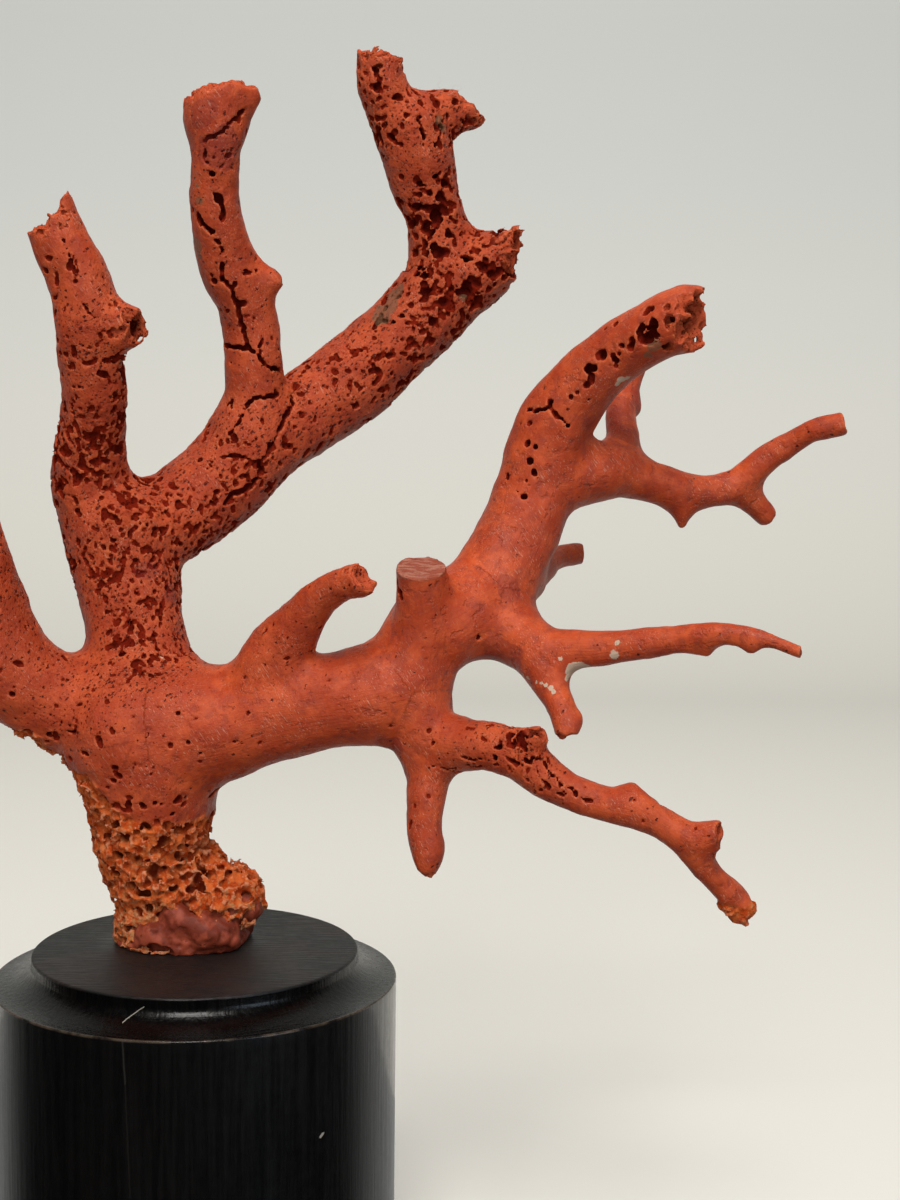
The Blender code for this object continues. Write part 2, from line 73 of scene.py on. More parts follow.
# Stations along each branch: x, y, height above the plinth and radius, in millimetres.
STATIONS: dict[str, list[Station]] = {
    "foot": [
        (-6.5, 6.0, -3.0, 11.5), (-7.3, 6.0, 3.5, 12.4), (-6.8, 5.0, 11.0, 11.7),
        (-9.0, 4.0, 18.5, 12.7), (-10.5, 2.0, 26.0, 13.0), (-10.0, 1.0, 32.5, 14.2),
        (-10.5, 0.0, 40.0, 15.5), HUB,
    ],
    "foot_flange": [(-3.5, 5.0, 8.5, 11.2), (6.0, 3.0, 11.0, 8.8), (8.5, 3.0, 11.5, 6.8)],
    "left": [
        HUB, (-23.3, -1.0, 53.8, 11.8), (-32.0, -3.0, 57.2, 10.5), (-41.5, -6.0, 66.0, 10.8),
        (-46.3, -9.0, 79.3, 10.6), (-49.3, -12.0, 92.0, 9.9), LEFT_FORK,
    ],
    "left_upper": [
        LEFT_FORK, (-57.0, -10.0, 117.5, 7.2), (-57.0, -4.0, 130.5, 6.8),
        (-60.5, 2.0, 143.5, 6.0), (-64.5, 5.0, 154.5, 5.8),
    ],
    "left_outer": [
        LEFT_FORK, (-61.0, -20.0, 113.0, 6.8), (-66.0, -28.0, 123.0, 5.5),
        (-73.5, -33.0, 131.0, 4.5), (-79.0, -34.0, 141.0, 4.0),
    ],
    "left_prong": [(-66.0, -28.0, 123.0, 5.5), (-64.0, -36.0, 133.5, 4.0), (-59.5, -42.0, 141.0, 3.2)],
    "trunk": [
        HUB, (-12.5, 2.0, 58.0, 13.8), (-13.5, 4.0, 67.0, 11.4), (-15.0, 6.0, 75.5, 11.2),
        (-16.5, 8.0, 83.5, 12.0), CROTCH,
    ],
    "horn": [
        CROTCH, (-22.5, 9.0, 99.0, 10.2), (-24.5, 7.0, 105.0, 8.8), (-23.5, 3.0, 113.5, 7.8),
        (-21.5, -2.0, 122.5, 7.2), (-21.5, -6.0, 131.0, 7.0), (-21.0, -9.0, 137.5, 7.2),
        (-22.0, -10.0, 144.0, 6.8), (-24.0, -11.0, 150.0, 6.5), (-26.5, -12.0, 155.5, 6.1),
        (-31.5, -13.5, 168.0, 5.7),
    ],
    "horn_knob": [(-20.0, -9.0, 138.0, 6.0), (-15.0, -10.0, 138.0, 5.0), (-12.0, -11.0, 137.8, 4.4)],
    "diagonal": [
        CROTCH, (-10.5, 14.0, 94.2, 10.5), (-4.0, 18.0, 98.7, 10.4), (2.4, 21.0, 103.9, 10.7),
        STEM_FORK,
    ],
    "middle": [
        STEM_FORK, (10.5, 22.0, 122.0, 7.6), (10.5, 20.0, 131.0, 6.8), (10.0, 19.0, 139.0, 6.5),
        (8.8, 17.0, 145.5, 6.3), (6.2, 14.5, 151.2, 6.9), (4.8, 12.0, 156.0, 6.4),
        (4.0, 9.0, 161.5, 5.8), (3.5, 7.0, 167.5, 5.6), (4.0, 5.0, 173.0, 5.4),
        (4.3, 4.0, 178.5, 5.8), (4.3, 4.0, 183.5, 7.2), (5.2, 4.0, 188.2, 7.6),
    ],
    "middle_lobe": [(4.5, 4.0, 183.0, 5.2), (9.5, 3.0, 187.0, 4.0), (11.5, 3.0, 188.5, 3.2)],
    "middle_spur": [(9.5, 17.0, 146.5, 5.0), (13.5, 15.0, 149.0, 3.2), (16.5, 14.0, 150.0, 1.8)],
    "upper": [
        STEM_FORK, (16.0, 28.0, 116.3, 10.0), (23.5, 33.0, 121.6, 10.2), (32.0, 37.0, 128.1, 10.4),
        (40.5, 40.0, 136.0, 10.0), (49.0, 42.0, 144.5, 10.2), CROWN_FORK,
    ],
    "crown": [
        CROWN_FORK, (53.0, 42.0, 160.5, 8.0), (51.5, 40.0, 168.0, 7.4), (49.0, 38.0, 174.0, 8.0),
        (47.5, 36.0, 181.0, 8.8), CROWN_TOP,
    ],
    "crown_left": [
        CROWN_TOP, (41.5, 33.0, 191.0, 6.4), (39.0, 31.0, 195.5, 5.7), (38.4, 30.0, 203.2, 5.0),
    ],
    "crown_right": [
        CROWN_TOP, (50.5, 36.0, 189.4, 6.2), (54.5, 37.0, 191.0, 5.4), (60.0, 38.0, 190.8, 3.8),
    ],
    "crown_stub": [
        CROWN_FORK, (62.0, 42.0, 155.0, 8.8), (67.5, 40.0, 158.5, 6.0), (72.5, 38.0, 161.5, 3.4),
    ],
    "arm": [
        HUB, (-3.5, -1.0, 50.5, 15.0), (7.0, -3.0, 52.0, 12.5), (17.5, -5.0, 55.0, 11.0),
        (28.0, -6.0, 57.0, 10.3), (38.5, -6.0, 58.8, 11.2), ARM_HUB,
    ],
    "finger": [
        (14.0, -4.0, 56.5, 10.0), (18.5, -8.0, 67.5, 7.0), (23.5, -12.0, 75.0, 5.4),
        (28.0, -16.0, 80.5, 4.0), (33.0, -20.0, 84.0, 3.6), (38.0, -24.0, 85.6, 3.6),
    ],
    "stump": [ARM_HUB, (50.6, -8.0, 73.5, 6.8), (49.7, -12.0, 87.6, 5.7)],
    "shoulder": [ARM_HUB, (50.2, -4.0, 70.1, 9.6), (55.3, -2.0, 74.9, 10.6), SHOULDER],
    "branch": [
        SHOULDER, (68.5, 6.0, 88.0, 9.5), (72.5, 8.0, 97.0, 9.0), (75.5, 9.0, 106.0, 8.8),
        (77.5, 8.0, 114.9, 8.5), (82.3, 6.0, 123.5, 8.0), (88.4, 2.0, 130.2, 7.2),
        (94.2, -2.0, 135.6, 6.7), (100.0, -6.0, 139.0, 6.6), (106.5, -8.5, 141.0, 7.2),
    ],
    "side": [
        (75.5, 9.0, 106.0, 8.8), (87.0, 13.0, 107.5, 7.5), (94.0, 16.0, 107.5, 6.0),
        (101.5, 18.0, 105.5, 4.8), (109.5, 20.0, 103.5, 4.1), (117.5, 22.0, 103.5, 3.8), SIDE_FORK,
    ],
    "side_tip": [
        SIDE_FORK, (128.0, 22.0, 110.0, 3.1), (134.0, 20.0, 114.5, 2.7),
        (139.0, 17.0, 117.5, 2.5), (144.5, 15.0, 119.0, 2.8),
    ],
    "side_drop": [SIDE_FORK, (126.5, 25.0, 101.0, 3.0), (130.0, 27.0, 97.6, 2.6)],
    "side_thorn": [(107.0, 20.0, 102.5, 4.0), (109.0, 20.0, 99.0, 2.5), (109.5, 20.0, 95.4, 1.4)],
    "upper_twig": [
        (94.0, 16.0, 107.5, 6.0), (95.5, 21.0, 115.0, 4.1), (95.5, 26.0, 121.0, 3.4),
        (97.0, 31.0, 127.0, 3.2), (99.5, 35.0, 133.0, 2.8), (102.0, 38.0, 139.5, 2.6),
    ],
    "rear_twig": [
        (73.0, 10.0, 83.0, 5.0), (79.0, 22.0, 86.5, 3.0), (83.0, 28.0, 87.4, 2.7),
        (87.2, 31.0, 87.6, 2.6),
    ],
    "twig": [
        SHOULDER, (70.5, -2.0, 72.3, 7.0), (75.7, -7.0, 69.6, 5.6), (80.5, -10.0, 70.0, 4.4),
        (88.5, -13.0, 70.5, 3.9), (96.5, -16.0, 72.0, 3.4), (105.0, -19.0, 73.5, 3.15),
        (109.5, -21.0, 74.7, 2.6), (114.0, -23.0, 75.4, 2.0), (119.0, -24.0, 75.0, 1.8),
        (124.0, -26.0, 73.7, 1.85), (128.6, -28.0, 72.2, 2.0),
    ],
    "prong": [
        (75.5, -7.0, 68.5, 6.0), (78.5, -12.0, 62.0, 3.7), (80.0, -15.5, 58.0, 3.2),
        (81.2, -18.0, 53.4, 2.7),
    ],
    "lower": [
        ARM_HUB, (52.2, -9.0, 50.8, 6.2), (58.5, -12.0, 49.3, 5.7), (64.5, -15.0, 49.4, 5.2),
        (70.0, -18.0, 48.5, 5.2), (75.5, -21.0, 45.0, 4.7), (81.5, -23.0, 41.5, 4.2),
        (88.0, -25.0, 39.5, 3.8), (94.5, -27.0, 39.0, 4.0), (101.0, -28.0, 36.0, 3.3),
        (107.0, -29.0, 33.0, 3.5), (112.0, -31.0, 34.7, 2.8),
    ],
    "lower_knob": [(93.4, -27.0, 39.4, 3.4), (94.6, -26.5, 43.4, 1.3)],
    "twig_thorn": [(108.8, -20.5, 74.2, 2.5), (110.2, -20.5, 69.9, 0.7)],
    "twig_hook": [(117.4, -24.0, 74.8, 1.7), (119.0, -24.0, 70.7, 0.6)],
    "prong_tooth": [(80.4, -16.0, 57.4, 2.7), (84.3, -17.0, 56.6, 0.8)],
    "twig_spur": [(95.5, 26.0, 121.0, 3.2), (99.8, 29.0, 121.8, 1.0)],
    "lower_spur": [(69.5, -18.0, 49.0, 4.8), (73.0, -21.5, 52.0, 2.8), (75.8, -24.0, 53.6, 2.1)],
    "tail": [
        (106.5, -29.0, 33.0, 3.4), (108.5, -28.0, 28.5, 3.0), (112.0, -26.0, 24.0, 2.8),
        (116.0, -24.0, 20.0, 3.0), (119.3, -22.0, 15.2, 3.0),
    ],
    "hang": [
        ARM_HUB, (50.3, -7.0, 50.6, 7.2), (52.0, -9.0, 42.5, 4.9), (51.5, -11.0, 37.0, 4.2),
        (51.0, -12.0, 31.0, 4.0), (52.0, -13.0, 26.0, 3.6), (52.0, -14.0, 22.6, 2.2),
    ],
}


class Slot(Enum):
    """The record's material slots that the pieces take their finish from."""

    WOOD = "black_wood"
    WAX = "red_filler"
    SPONGE = "coral_sponge"
    PITTED = "coral_pitted"
    SKIN = "coral_skin"


@dataclass(frozen=True)
class Fork:
    """A piece that begins at a cut: its name, the cut's centre and direction, and its finish."""

    name: str
    centre: Point
    across: Point
    slot: Slot = Slot.SKIN


# For each branch, the piece that its root belongs to and the cut that the next piece begins at.
FOOT_PIECE = "coral_foot"
FORKS: dict[str, Fork] = {
    "left": Fork("left_branch", (-26.5, -1.2, 54.4), (-1.0, 0.0, 0.1), Slot.PITTED),
    "left_upper": Fork("left_upper_tip", (-57.0, -9.0, 119.5), (0.0, 0.2, 1.0), Slot.PITTED),
    "left_outer": Fork("left_outer_tip", (-63.5, -24.0, 118.0), (-0.45, -0.7, 0.75), Slot.PITTED),
    "trunk": Fork("trunk", (-13.6, 3.8, 67.0), (0.0, 0.1, 1.0), Slot.PITTED),
    "horn": Fork("left_horn", (-23.6, 8.2, 102.7), (-0.15, -0.15, 1.0), Slot.PITTED),
    "diagonal": Fork("diagonal_limb", (-8.1, 14.8, 94.7), (0.914, 0.2, 0.406), Slot.PITTED),
    "middle": Fork("middle_stem", (9.4, 21.2, 124.5), (-0.543, -0.1, 0.84), Slot.PITTED),
    "upper": Fork("upper_limb", (22.6, 32.0, 120.8), (0.76, 0.35, 0.57), Slot.PITTED),
    "crown": Fork("crown", (52.8, 42.0, 159.4), (-0.457, 0.0, 0.889), Slot.PITTED),
    "crown_stub": Fork("crown_stub", (64.6, 41.7, 155.7), (0.95, -0.15, 0.3), Slot.PITTED),
    "arm": Fork("right_arm", (3.8, -1.8, 51.2), (0.965, 0.0, 0.26)),
    "finger": Fork("arm_finger", (18.8, -8.4, 68.9), (0.18, -0.3, 0.98)),
    "shoulder": Fork("right_branch", (57.4, -0.7, 75.5), (1.0, 0.0, 0.05)),
    "side": Fork("side_branch", (85.8, 12.4, 107.0), (0.945, 0.2, -0.325)),
    "side_tip": Fork("side_tip", (125.2, 22.6, 107.2), (0.7, -0.1, 0.7)),
    "upper_twig": Fork("upper_twig", (95.0, 19.7, 113.0), (0.05, 0.55, 0.85)),
    "rear_twig": Fork("rear_twig", (77.8, 20.0, 85.9), (0.45, 0.85, 0.2)),
    "twig": Fork("middle_twig", (71.8, -3.4, 71.6), (0.96, -0.2, -0.28)),
    "prong": Fork("middle_prong", (77.6, -10.6, 63.8), (0.2, -0.45, -0.9)),
    "lower": Fork("lower_branch", (58.4, -12.0, 49.2), (1.0, -0.35, -0.1)),
    "tail": Fork("lower_tail", (108.6, -28.0, 28.6), (0.4, 0.25, -0.88)),
    "hang": Fork("hanging_stub", (52.2, -9.0, 42.4), (0.0, -0.15, -1.0)),
}
# The branch whose far piece each root lies in; a branch with no cut of its own lies in it throughout.
PARENTS: dict[str, str] = {
    "left_upper": "left", "left_outer": "left", "left_prong": "left_outer", "horn": "trunk",
    "horn_knob": "horn", "diagonal": "trunk", "middle": "diagonal", "middle_lobe": "middle",
    "middle_spur": "middle", "upper": "diagonal", "crown": "upper", "crown_left": "crown",
    "crown_right": "crown", "crown_stub": "upper", "finger": "arm", "stump": "arm",
    "shoulder": "arm", "branch": "shoulder", "side": "shoulder", "side_tip": "side",
    "lower_knob": "lower", "twig_thorn": "twig", "twig_hook": "twig", "prong_tooth": "prong",
    "twig_spur": "upper_twig", "side_drop": "side", "side_thorn": "side", "upper_twig": "side", "rear_twig": "shoulder",
    "twig": "shoulder", "prong": "twig", "lower": "arm", "lower_spur": "lower", "tail": "lower",
    "hang": "arm",
}


@dataclass(frozen=True)
class BrokenEnd:
    """The broken or sawn end of a branch.

    facing is the way its face looks (none: along the branch), back how far the face lies behind the
    last station, ragged how far its teeth stand out, hollow the width and depth of the hole in it, and
    sawn marks a flat pale cut.
    """

    facing: Point | None = None
    back: float = 0.0
    ragged: float = 0.5
    hollow: tuple[float, float] = (0.0, 0.0)
    sawn: bool = False


BROKEN_ENDS: dict[str, BrokenEnd] = {
    "left_upper": BrokenEnd((-0.3, 0.2, 0.93), 1.0, 1.2, (3.0, 2.5)),
    "left_outer": BrokenEnd(None, 0.5, 0.9, (1.8, 1.6)),
    "left_prong": BrokenEnd(None, 0.3, 0.6),
    "horn": BrokenEnd((-0.74, -0.15, 0.67), 8.0, 1.3, (3.4, 3.6)),
    "middle": BrokenEnd((-0.34, -0.22, 0.92), -2.2, 1.3, (2.2, 1.2)),
    "middle_lobe": BrokenEnd((0.35, -0.2, 0.9), -1.6, 0.9),
    "middle_spur": BrokenEnd((0.8, -0.3, 0.5), -0.4, 0.7),
    "horn_knob": BrokenEnd((0.86, -0.5, -0.05), -1.6, 1.0, (2.3, 1.2)),
    "crown_left": BrokenEnd((0.1, -0.2, 0.97), 0.2, 1.8, (2.2, 2.0)),
    "crown_right": BrokenEnd((0.62, -0.25, 0.74), -1.2, 1.5),
    "crown_stub": BrokenEnd((0.86, -0.35, -0.36), 1.4, 1.8, (2.4, 3.0)),
    "finger": BrokenEnd((0.62, -0.35, 0.66), -0.2, 1.0, (1.4, 0.7)),
    "stump": BrokenEnd((-0.03, -0.36, 0.93), 0.0, 0.22, sawn=True),
    "branch": BrokenEnd((0.82, -0.42, 0.0), -0.9, 2.4, (3.9, 4.4)),
    "side_tip": BrokenEnd((0.9, -0.1, 0.3), -0.6, 0.4),
    "side_drop": BrokenEnd(None, -1.2, 0.5),
    "upper_twig": BrokenEnd(None, 0.0, 0.8),
    "rear_twig": BrokenEnd((0.97, 0.2, 0.05), -0.3, 0.25),
    "twig": BrokenEnd((0.97, -0.2, -0.1), -0.4, 0.5),
    "prong": BrokenEnd((0.1, -0.5, -0.85), -0.8, 0.9),
    "lower": BrokenEnd((0.93, -0.35, 0.1), -0.4, 0.4, (1.5, 0.8)),
    "lower_spur": BrokenEnd((0.6, -0.4, 0.68), -0.6, 0.9, (1.4, 1.6)),
    "tail": BrokenEnd((0.3, -0.1, -0.95), -1.6, 1.6),
    "hang": BrokenEnd((-0.35, -0.3, -0.88), -1.4, 1.0),
}


@dataclass(frozen=True)
class Boring:
    """How thickly a branch is bored: holes in a square millimetre, and their least and most radius."""

    share: float
    least: float = 0.35
    most: float = 0.8


BORINGS: dict[str, Boring] = {
    "foot": Boring(0.03), "left": Boring(0.09, 0.26, 0.5), "left_upper": Boring(0.12),
    "left_outer": Boring(0.10, 0.28, 0.55), "trunk": Boring(0.50, 0.28, 0.58),
    "horn": Boring(0.62, 0.28, 0.70), "horn_knob": Boring(0.12), "diagonal": Boring(0.36, 0.28, 0.56),
    "middle": Boring(0.06, 0.28, 0.5), "upper": Boring(0.28, 0.28, 0.70),
    "crown": Boring(0.20, 0.3, 0.85), "crown_left": Boring(0.20), "crown_right": Boring(0.24),
    "crown_stub": Boring(0.24, 0.3, 0.9), "arm": Boring(0.003, 0.28, 0.4), "finger": Boring(0.03, 0.28, 0.4),
    "lower": Boring(0.012, 0.28, 0.5), "lower_spur": Boring(0.12, 0.28, 0.5), "hang": Boring(0.03, 0.28, 0.5),
}

# Single holes that are seen from the front: where they lie in the 900 by 1200 view, and their radius.
FRONT_HOLES: tuple[tuple[float, float, float], ...] = (
    (376, 69, 1.2), (376, 86, 0.8), (395, 97, 0.9), (401, 97, 0.7), (391, 139, 1.0), (395, 142, 0.6),
    (401, 145, 0.7), (406, 115, 0.5), (436, 177, 1.3), (445, 183, 1.6), (420, 185, 1.0),
    (430, 194, 1.0), (441, 196, 1.3), (414, 208, 1.3), (427, 208, 1.0), (443, 209, 1.0),
    (435, 216, 1.6), (425, 229, 1.7), (430, 233, 1.2), (449, 235, 1.1), (462, 234, 0.7),
    (426, 254, 1.2), (437, 250, 1.6), (448, 251, 0.9), (417, 273, 1.8), (422, 269, 1.1),
    (466, 259, 1.3), (485, 268, 1.7), (491, 274, 1.5), (442, 274, 1.0), (434, 279, 0.6),
    (425, 290, 1.7), (441, 291, 0.8), (451, 289, 0.8), (466, 290, 1.5), (480, 298, 1.1),
    (445, 303, 1.1), (440, 311, 0.7), (449, 315, 0.7), (402, 316, 0.7), (393, 322, 0.7),
    (406, 323, 0.6), (434, 322, 1.0), (629, 347, 1.4), (623, 346, 1.1), (602, 354, 1.2),
    (615, 360, 1.3), (588, 370, 1.4), (590, 379, 0.9), (586, 386, 0.6), (571, 397, 0.4),
    (577, 393, 0.4), (589, 399, 0.35), (530, 423, 0.8), (521, 424, 0.4), (528, 443, 0.9),
    (535, 447, 0.6), (530, 462, 0.8), (535, 472, 0.9), (507, 474, 0.7), (508, 478, 0.6),
    (526, 480, 0.5), (511, 484, 0.4), (517, 491, 0.5), (524, 497, 0.9), (615, 324, 0.45),
    (605, 329, 0.4), (650, 335, 2.2), (645, 338, 1.6), (670, 321, 1.5), (681, 332, 2.2),
    (684, 338, 1.8), (667, 349, 1.4), (648, 309, 1.0), (667, 307, 0.9), (12, 694, 0.75),
    (48, 735, 0.9), (55, 734, 0.6), (86, 754, 0.75), (83, 752, 0.6), (142, 807, 0.9), (155, 804, 0.7),
    (161, 805, 0.7), (179, 800, 0.8), (177, 802, 0.6), (200, 753, 0.45), (200, 762, 0.5),
    (234, 742, 0.4), (188, 742, 0.4), (170, 745, 0.35), (178, 713, 0.35), (146, 767, 0.35),
    (229, 677, 0.3), (478, 637, 0.4), (115, 768, 0.8), (119, 776, 0.7), (114, 781, 0.6),
    (211, 174, 0.75), (244, 303, 0.75), (235, 284, 0.9), (222, 279, 1.1), (216, 280, 0.9),
    (246, 271, 0.7), (128, 805, 0.8), (173, 814, 0.6), (144, 654, 0.7), (142, 652, 0.5),
    (57, 210, 1.3), (44, 226, 1.5), (75, 281, 0.5), (46, 271, 0.8), (127, 318, 1.0), (122, 330, 0.8),
    (508, 735, 1.0), (500, 747, 1.1), (513, 745, 1.2), (522, 740, 1.3), (530, 734, 1.1),
    (538, 733, 1.0), (548, 787, 0.9), (541, 790, 0.8), (552, 776, 0.6), (495, 757, 0.7),
)


@dataclass(frozen=True)
class Crack:
    """A crack or gouge along points of the 900 by 1200 view, with its width and depth."""

    path: tuple[tuple[float, float], ...]
    width: float = 0.7
    depth: float = 1.1


CRACKS: tuple[Crack, ...] = (
    Crack(((215, 194), (220, 200), (223, 208), (224, 216), (221, 223)), 1.5, 1.3),
    Crack(((197, 216), (202, 223), (207, 229), (213, 232)), 1.5, 1.4),
    Crack(((216, 241), (221, 246), (223, 250), (221, 257), (222, 266), (223, 279)), 0.9),
    Crack(((223, 280), (232, 288), (234, 297), (238, 308), (242, 322), (245, 335), (247, 347)), 1.0),
    Crack(((225, 346), (235, 347), (248, 348), (257, 355), (262, 362), (271, 368), (281, 371)), 0.9),
    Crack(((262, 356), (259, 348), (263, 338)), 0.5, 0.8),
    Crack(((228, 404), (233, 398), (231, 408)), 0.7, 0.8),
    Crack(((246, 404), (256, 398), (269, 397), (281, 394)), 0.8),
    Crack(((247, 404), (244, 413), (237, 423), (229, 434)), 0.5, 0.8),
    Crack(((228, 455), (239, 456), (250, 460), (260, 463)), 0.6, 0.9),
    Crack(((260, 463), (269, 451), (276, 438), (283, 421), (291, 408), (293, 393)), 0.9),
    Crack(((260, 463), (261, 471), (254, 483), (245, 491), (232, 494), (224, 505)), 1.0),
    Crack(((203, 143), (206, 139), (213, 137), (222, 133), (228, 125), (236, 118), (246, 109)), 0.7, 0.9),
    Crack(((203, 140), (205, 150), (204, 158), (210, 164)), 0.5, 0.8),
    Crack(((222, 133), (231, 134)), 0.4, 0.7),
    Crack(((243, 273), (252, 272), (261, 269)), 0.8, 0.8),
    Crack(((58, 208), (66, 213), (77, 212)), 0.35, 0.5),
    Crack(((55, 210), (60, 226), (66, 245), (72, 262), (76, 279)), 0.6, 0.6),
    Crack(((66, 213), (69, 232), (75, 255), (78, 275)), 0.35, 0.4),
    Crack(((84, 305), (88, 312), (96, 320)), 0.5, 0.7),
    Crack(((419, 115), (420, 124), (423, 132), (425, 140)), 0.9, 1.2),
    Crack(((441, 124), (441, 134), (439, 142), (434, 148)), 0.7, 1.1),
    Crack(((529, 410), (537, 410), (543, 409), (551, 406), (550, 400)), 0.9, 1.2),
    Crack(((551, 408), (556, 414), (560, 418)), 1.1, 1.2),
    Crack(((562, 420), (567, 424), (570, 427)), 1.2, 1.2),
    Crack(((586, 366), (590, 372), (589, 380), (585, 389)), 1.0, 1.4),
    Crack(((430, 767), (450, 769), (470, 766), (485, 768), (497, 764)), 0.5, 0.8),
    Crack(((462, 757), (470, 760), (486, 759)), 0.7, 0.9),
    Crack(((530, 756), (540, 760), (547, 767), (553, 776), (563, 778)), 0.6, 0.8),
    Crack(((505, 757), (514, 762), (524, 765)), 0.8, 0.9),
    Crack(((545, 786), (552, 792), (563, 795)), 0.8, 0.9),
    Crack(((580, 797), (587, 801), (592, 800)), 0.8, 0.8),
    Crack(((560, 788), (566, 793)), 0.5, 0.6),
    Crack(((519, 742), (526, 749), (524, 758), (532, 764)), 0.9, 1.0),
    Crack(((538, 770), (541, 780), (549, 783)), 0.7, 0.9),
    Crack(((556, 780), (562, 786), (573, 789), (578, 797)), 0.6, 0.8),
    Crack(((150, 730), (148, 738), (139, 736), (130, 738)), 0.4, 0.5),
    Crack(((150, 730), (158, 727), (164, 723)), 0.3, 0.4),
    Crack(((40, 698), (52, 699)), 0.5, 0.6),
    Crack(((57, 738), (66, 733), (76, 731)), 0.8, 0.8),
    Crack(((152, 640), (158, 646), (162, 656)), 0.6, 0.7),
    Crack(((127, 618), (132, 624), (132, 630)), 1.0, 1.0),
    Crack(((112, 645), (120, 643), (128, 645)), 0.7, 0.8),
    Crack(((160, 600), (162, 610), (161, 622), (160, 632)), 0.7, 0.7),
    Crack(((395, 571), (396, 580), (398, 590), (401, 600)), 1.3, 1.2),
)


@dataclass(frozen=True)
class Stain:
    """A patch of deposit on the front: where it lies in the view, its reach in mm and its kind."""

    place: tuple[float, float]
    reach: float
    kind: str


STAINS: tuple[Stain, ...] = (
    Stain((571, 671), 2.1, "lime"), Stain((578, 668), 1.7, "lime"), Stain((566, 679), 1.2, "lime"),
    Stain((585, 668), 1.2, "lime"), Stain((614, 655), 1.3, "lime"), Stain((617, 643), 0.6, "lime"),
    *(
        Stain(place, 0.75, "lime")
        for place in ((523, 675), (527, 678), (531, 680), (536, 682), (541, 683), (546, 685), (551, 688), (554, 692))
    ),
    Stain((560, 659), 0.8, "lime"), Stain((622, 380), 1.3, "lime"),
    Stain((628, 378), 1.2, "lime"), Stain((618, 384), 0.8, "lime"), Stain((656, 632), 0.5, "lime"),
    Stain((162, 657), 0.7, "lime"), Stain((568, 566), 0.6, "lime"),
    Stain((200, 200), 1.2, "grime"), Stain((200, 222), 1.5, "grime"), Stain((206, 228), 1.0, "grime"),
    Stain((197, 246), 1.6, "grime"), Stain((199, 256), 1.2, "grime"), Stain((382, 318), 2.2, "grime"),
    Stain((388, 305), 2.6, "grime"), Stain((393, 294), 2.2, "grime"), Stain((400, 288), 1.4, "grime"),
    Stain((440, 121), 1.3, "grime"), Stain((443, 128), 1.0, "grime"), Stain((655, 345), 1.6, "grime"),
    Stain((648, 356), 1.2, "grime"), Stain((465, 295), 1.2, "grime"), Stain((198, 186), 0.9, "grime"),
    Stain((340, 655), 3.0, "mauve"), Stain((505, 655), 5.0, "mauve"), Stain((590, 423), 3.0, "mauve"),
    Stain((150, 570), 3.5, "mauve"), Stain((172, 590), 4.0, "mauve"), Stain((612, 400), 4.0, "mauve"),
    Stain((624, 412), 5.0, "mauve"), Stain((640, 404), 4.5, "mauve"), Stain((630, 432), 4.0, "mauve"),
    Stain((228, 150), 5.0, "mauve"), Stain((203, 112), 3.0, "mauve"), Stain((395, 745), 4.0, "mauve"), Stain((505, 590), 3.0, "mauve"),
)


# ---- lattice and field ------------------------------------------------------------------------


def spline_weights(share: float) -> tuple[float, float, float, float]:
    """The four weights of a cubic B-spline at a share of the way from one sample to the next.

    Args:
        share: how far along, from 0 to 1.

    Returns:
        The weights of the sample before, the two on either side and the one after.
    """
    square, cube = share * share, share**3
    return (
        (1 - share) ** 3 / 6,
        (3 * cube - 6 * square + 4) / 6,
        (-3 * cube + 3 * square + 3 * share + 1) / 6,
        cube / 6,
    )


def refine(values: Array, axis: int) -> Array:
    """Values three times as close along an axis: a cubic B-spline through each row of samples.

    Args:
        values: the coarse samples.
        axis: the axis to refine.

    Returns:
        The fine samples; the first lies on the second coarse one.
    """
    rows = np.moveaxis(values, axis, 0)
    fine = np.empty((3 * (len(rows) - 3), *rows.shape[1:]), np.float32)
    for phase in range(3):
        before, start, end, after = (np.float32(w) for w in spline_weights(phase / 3))
        fine[phase::3] = before * rows[:-3] + start * rows[1:-2] + end * rows[2:-1] + after * rows[3:]
    return np.moveaxis(fine, 0, axis)


def refine_all(values: Array) -> Array:
    """The samples three times as close along all three axes."""
    for axis in range(3):
        values = refine(values, axis)
    return np.ascontiguousarray(values)


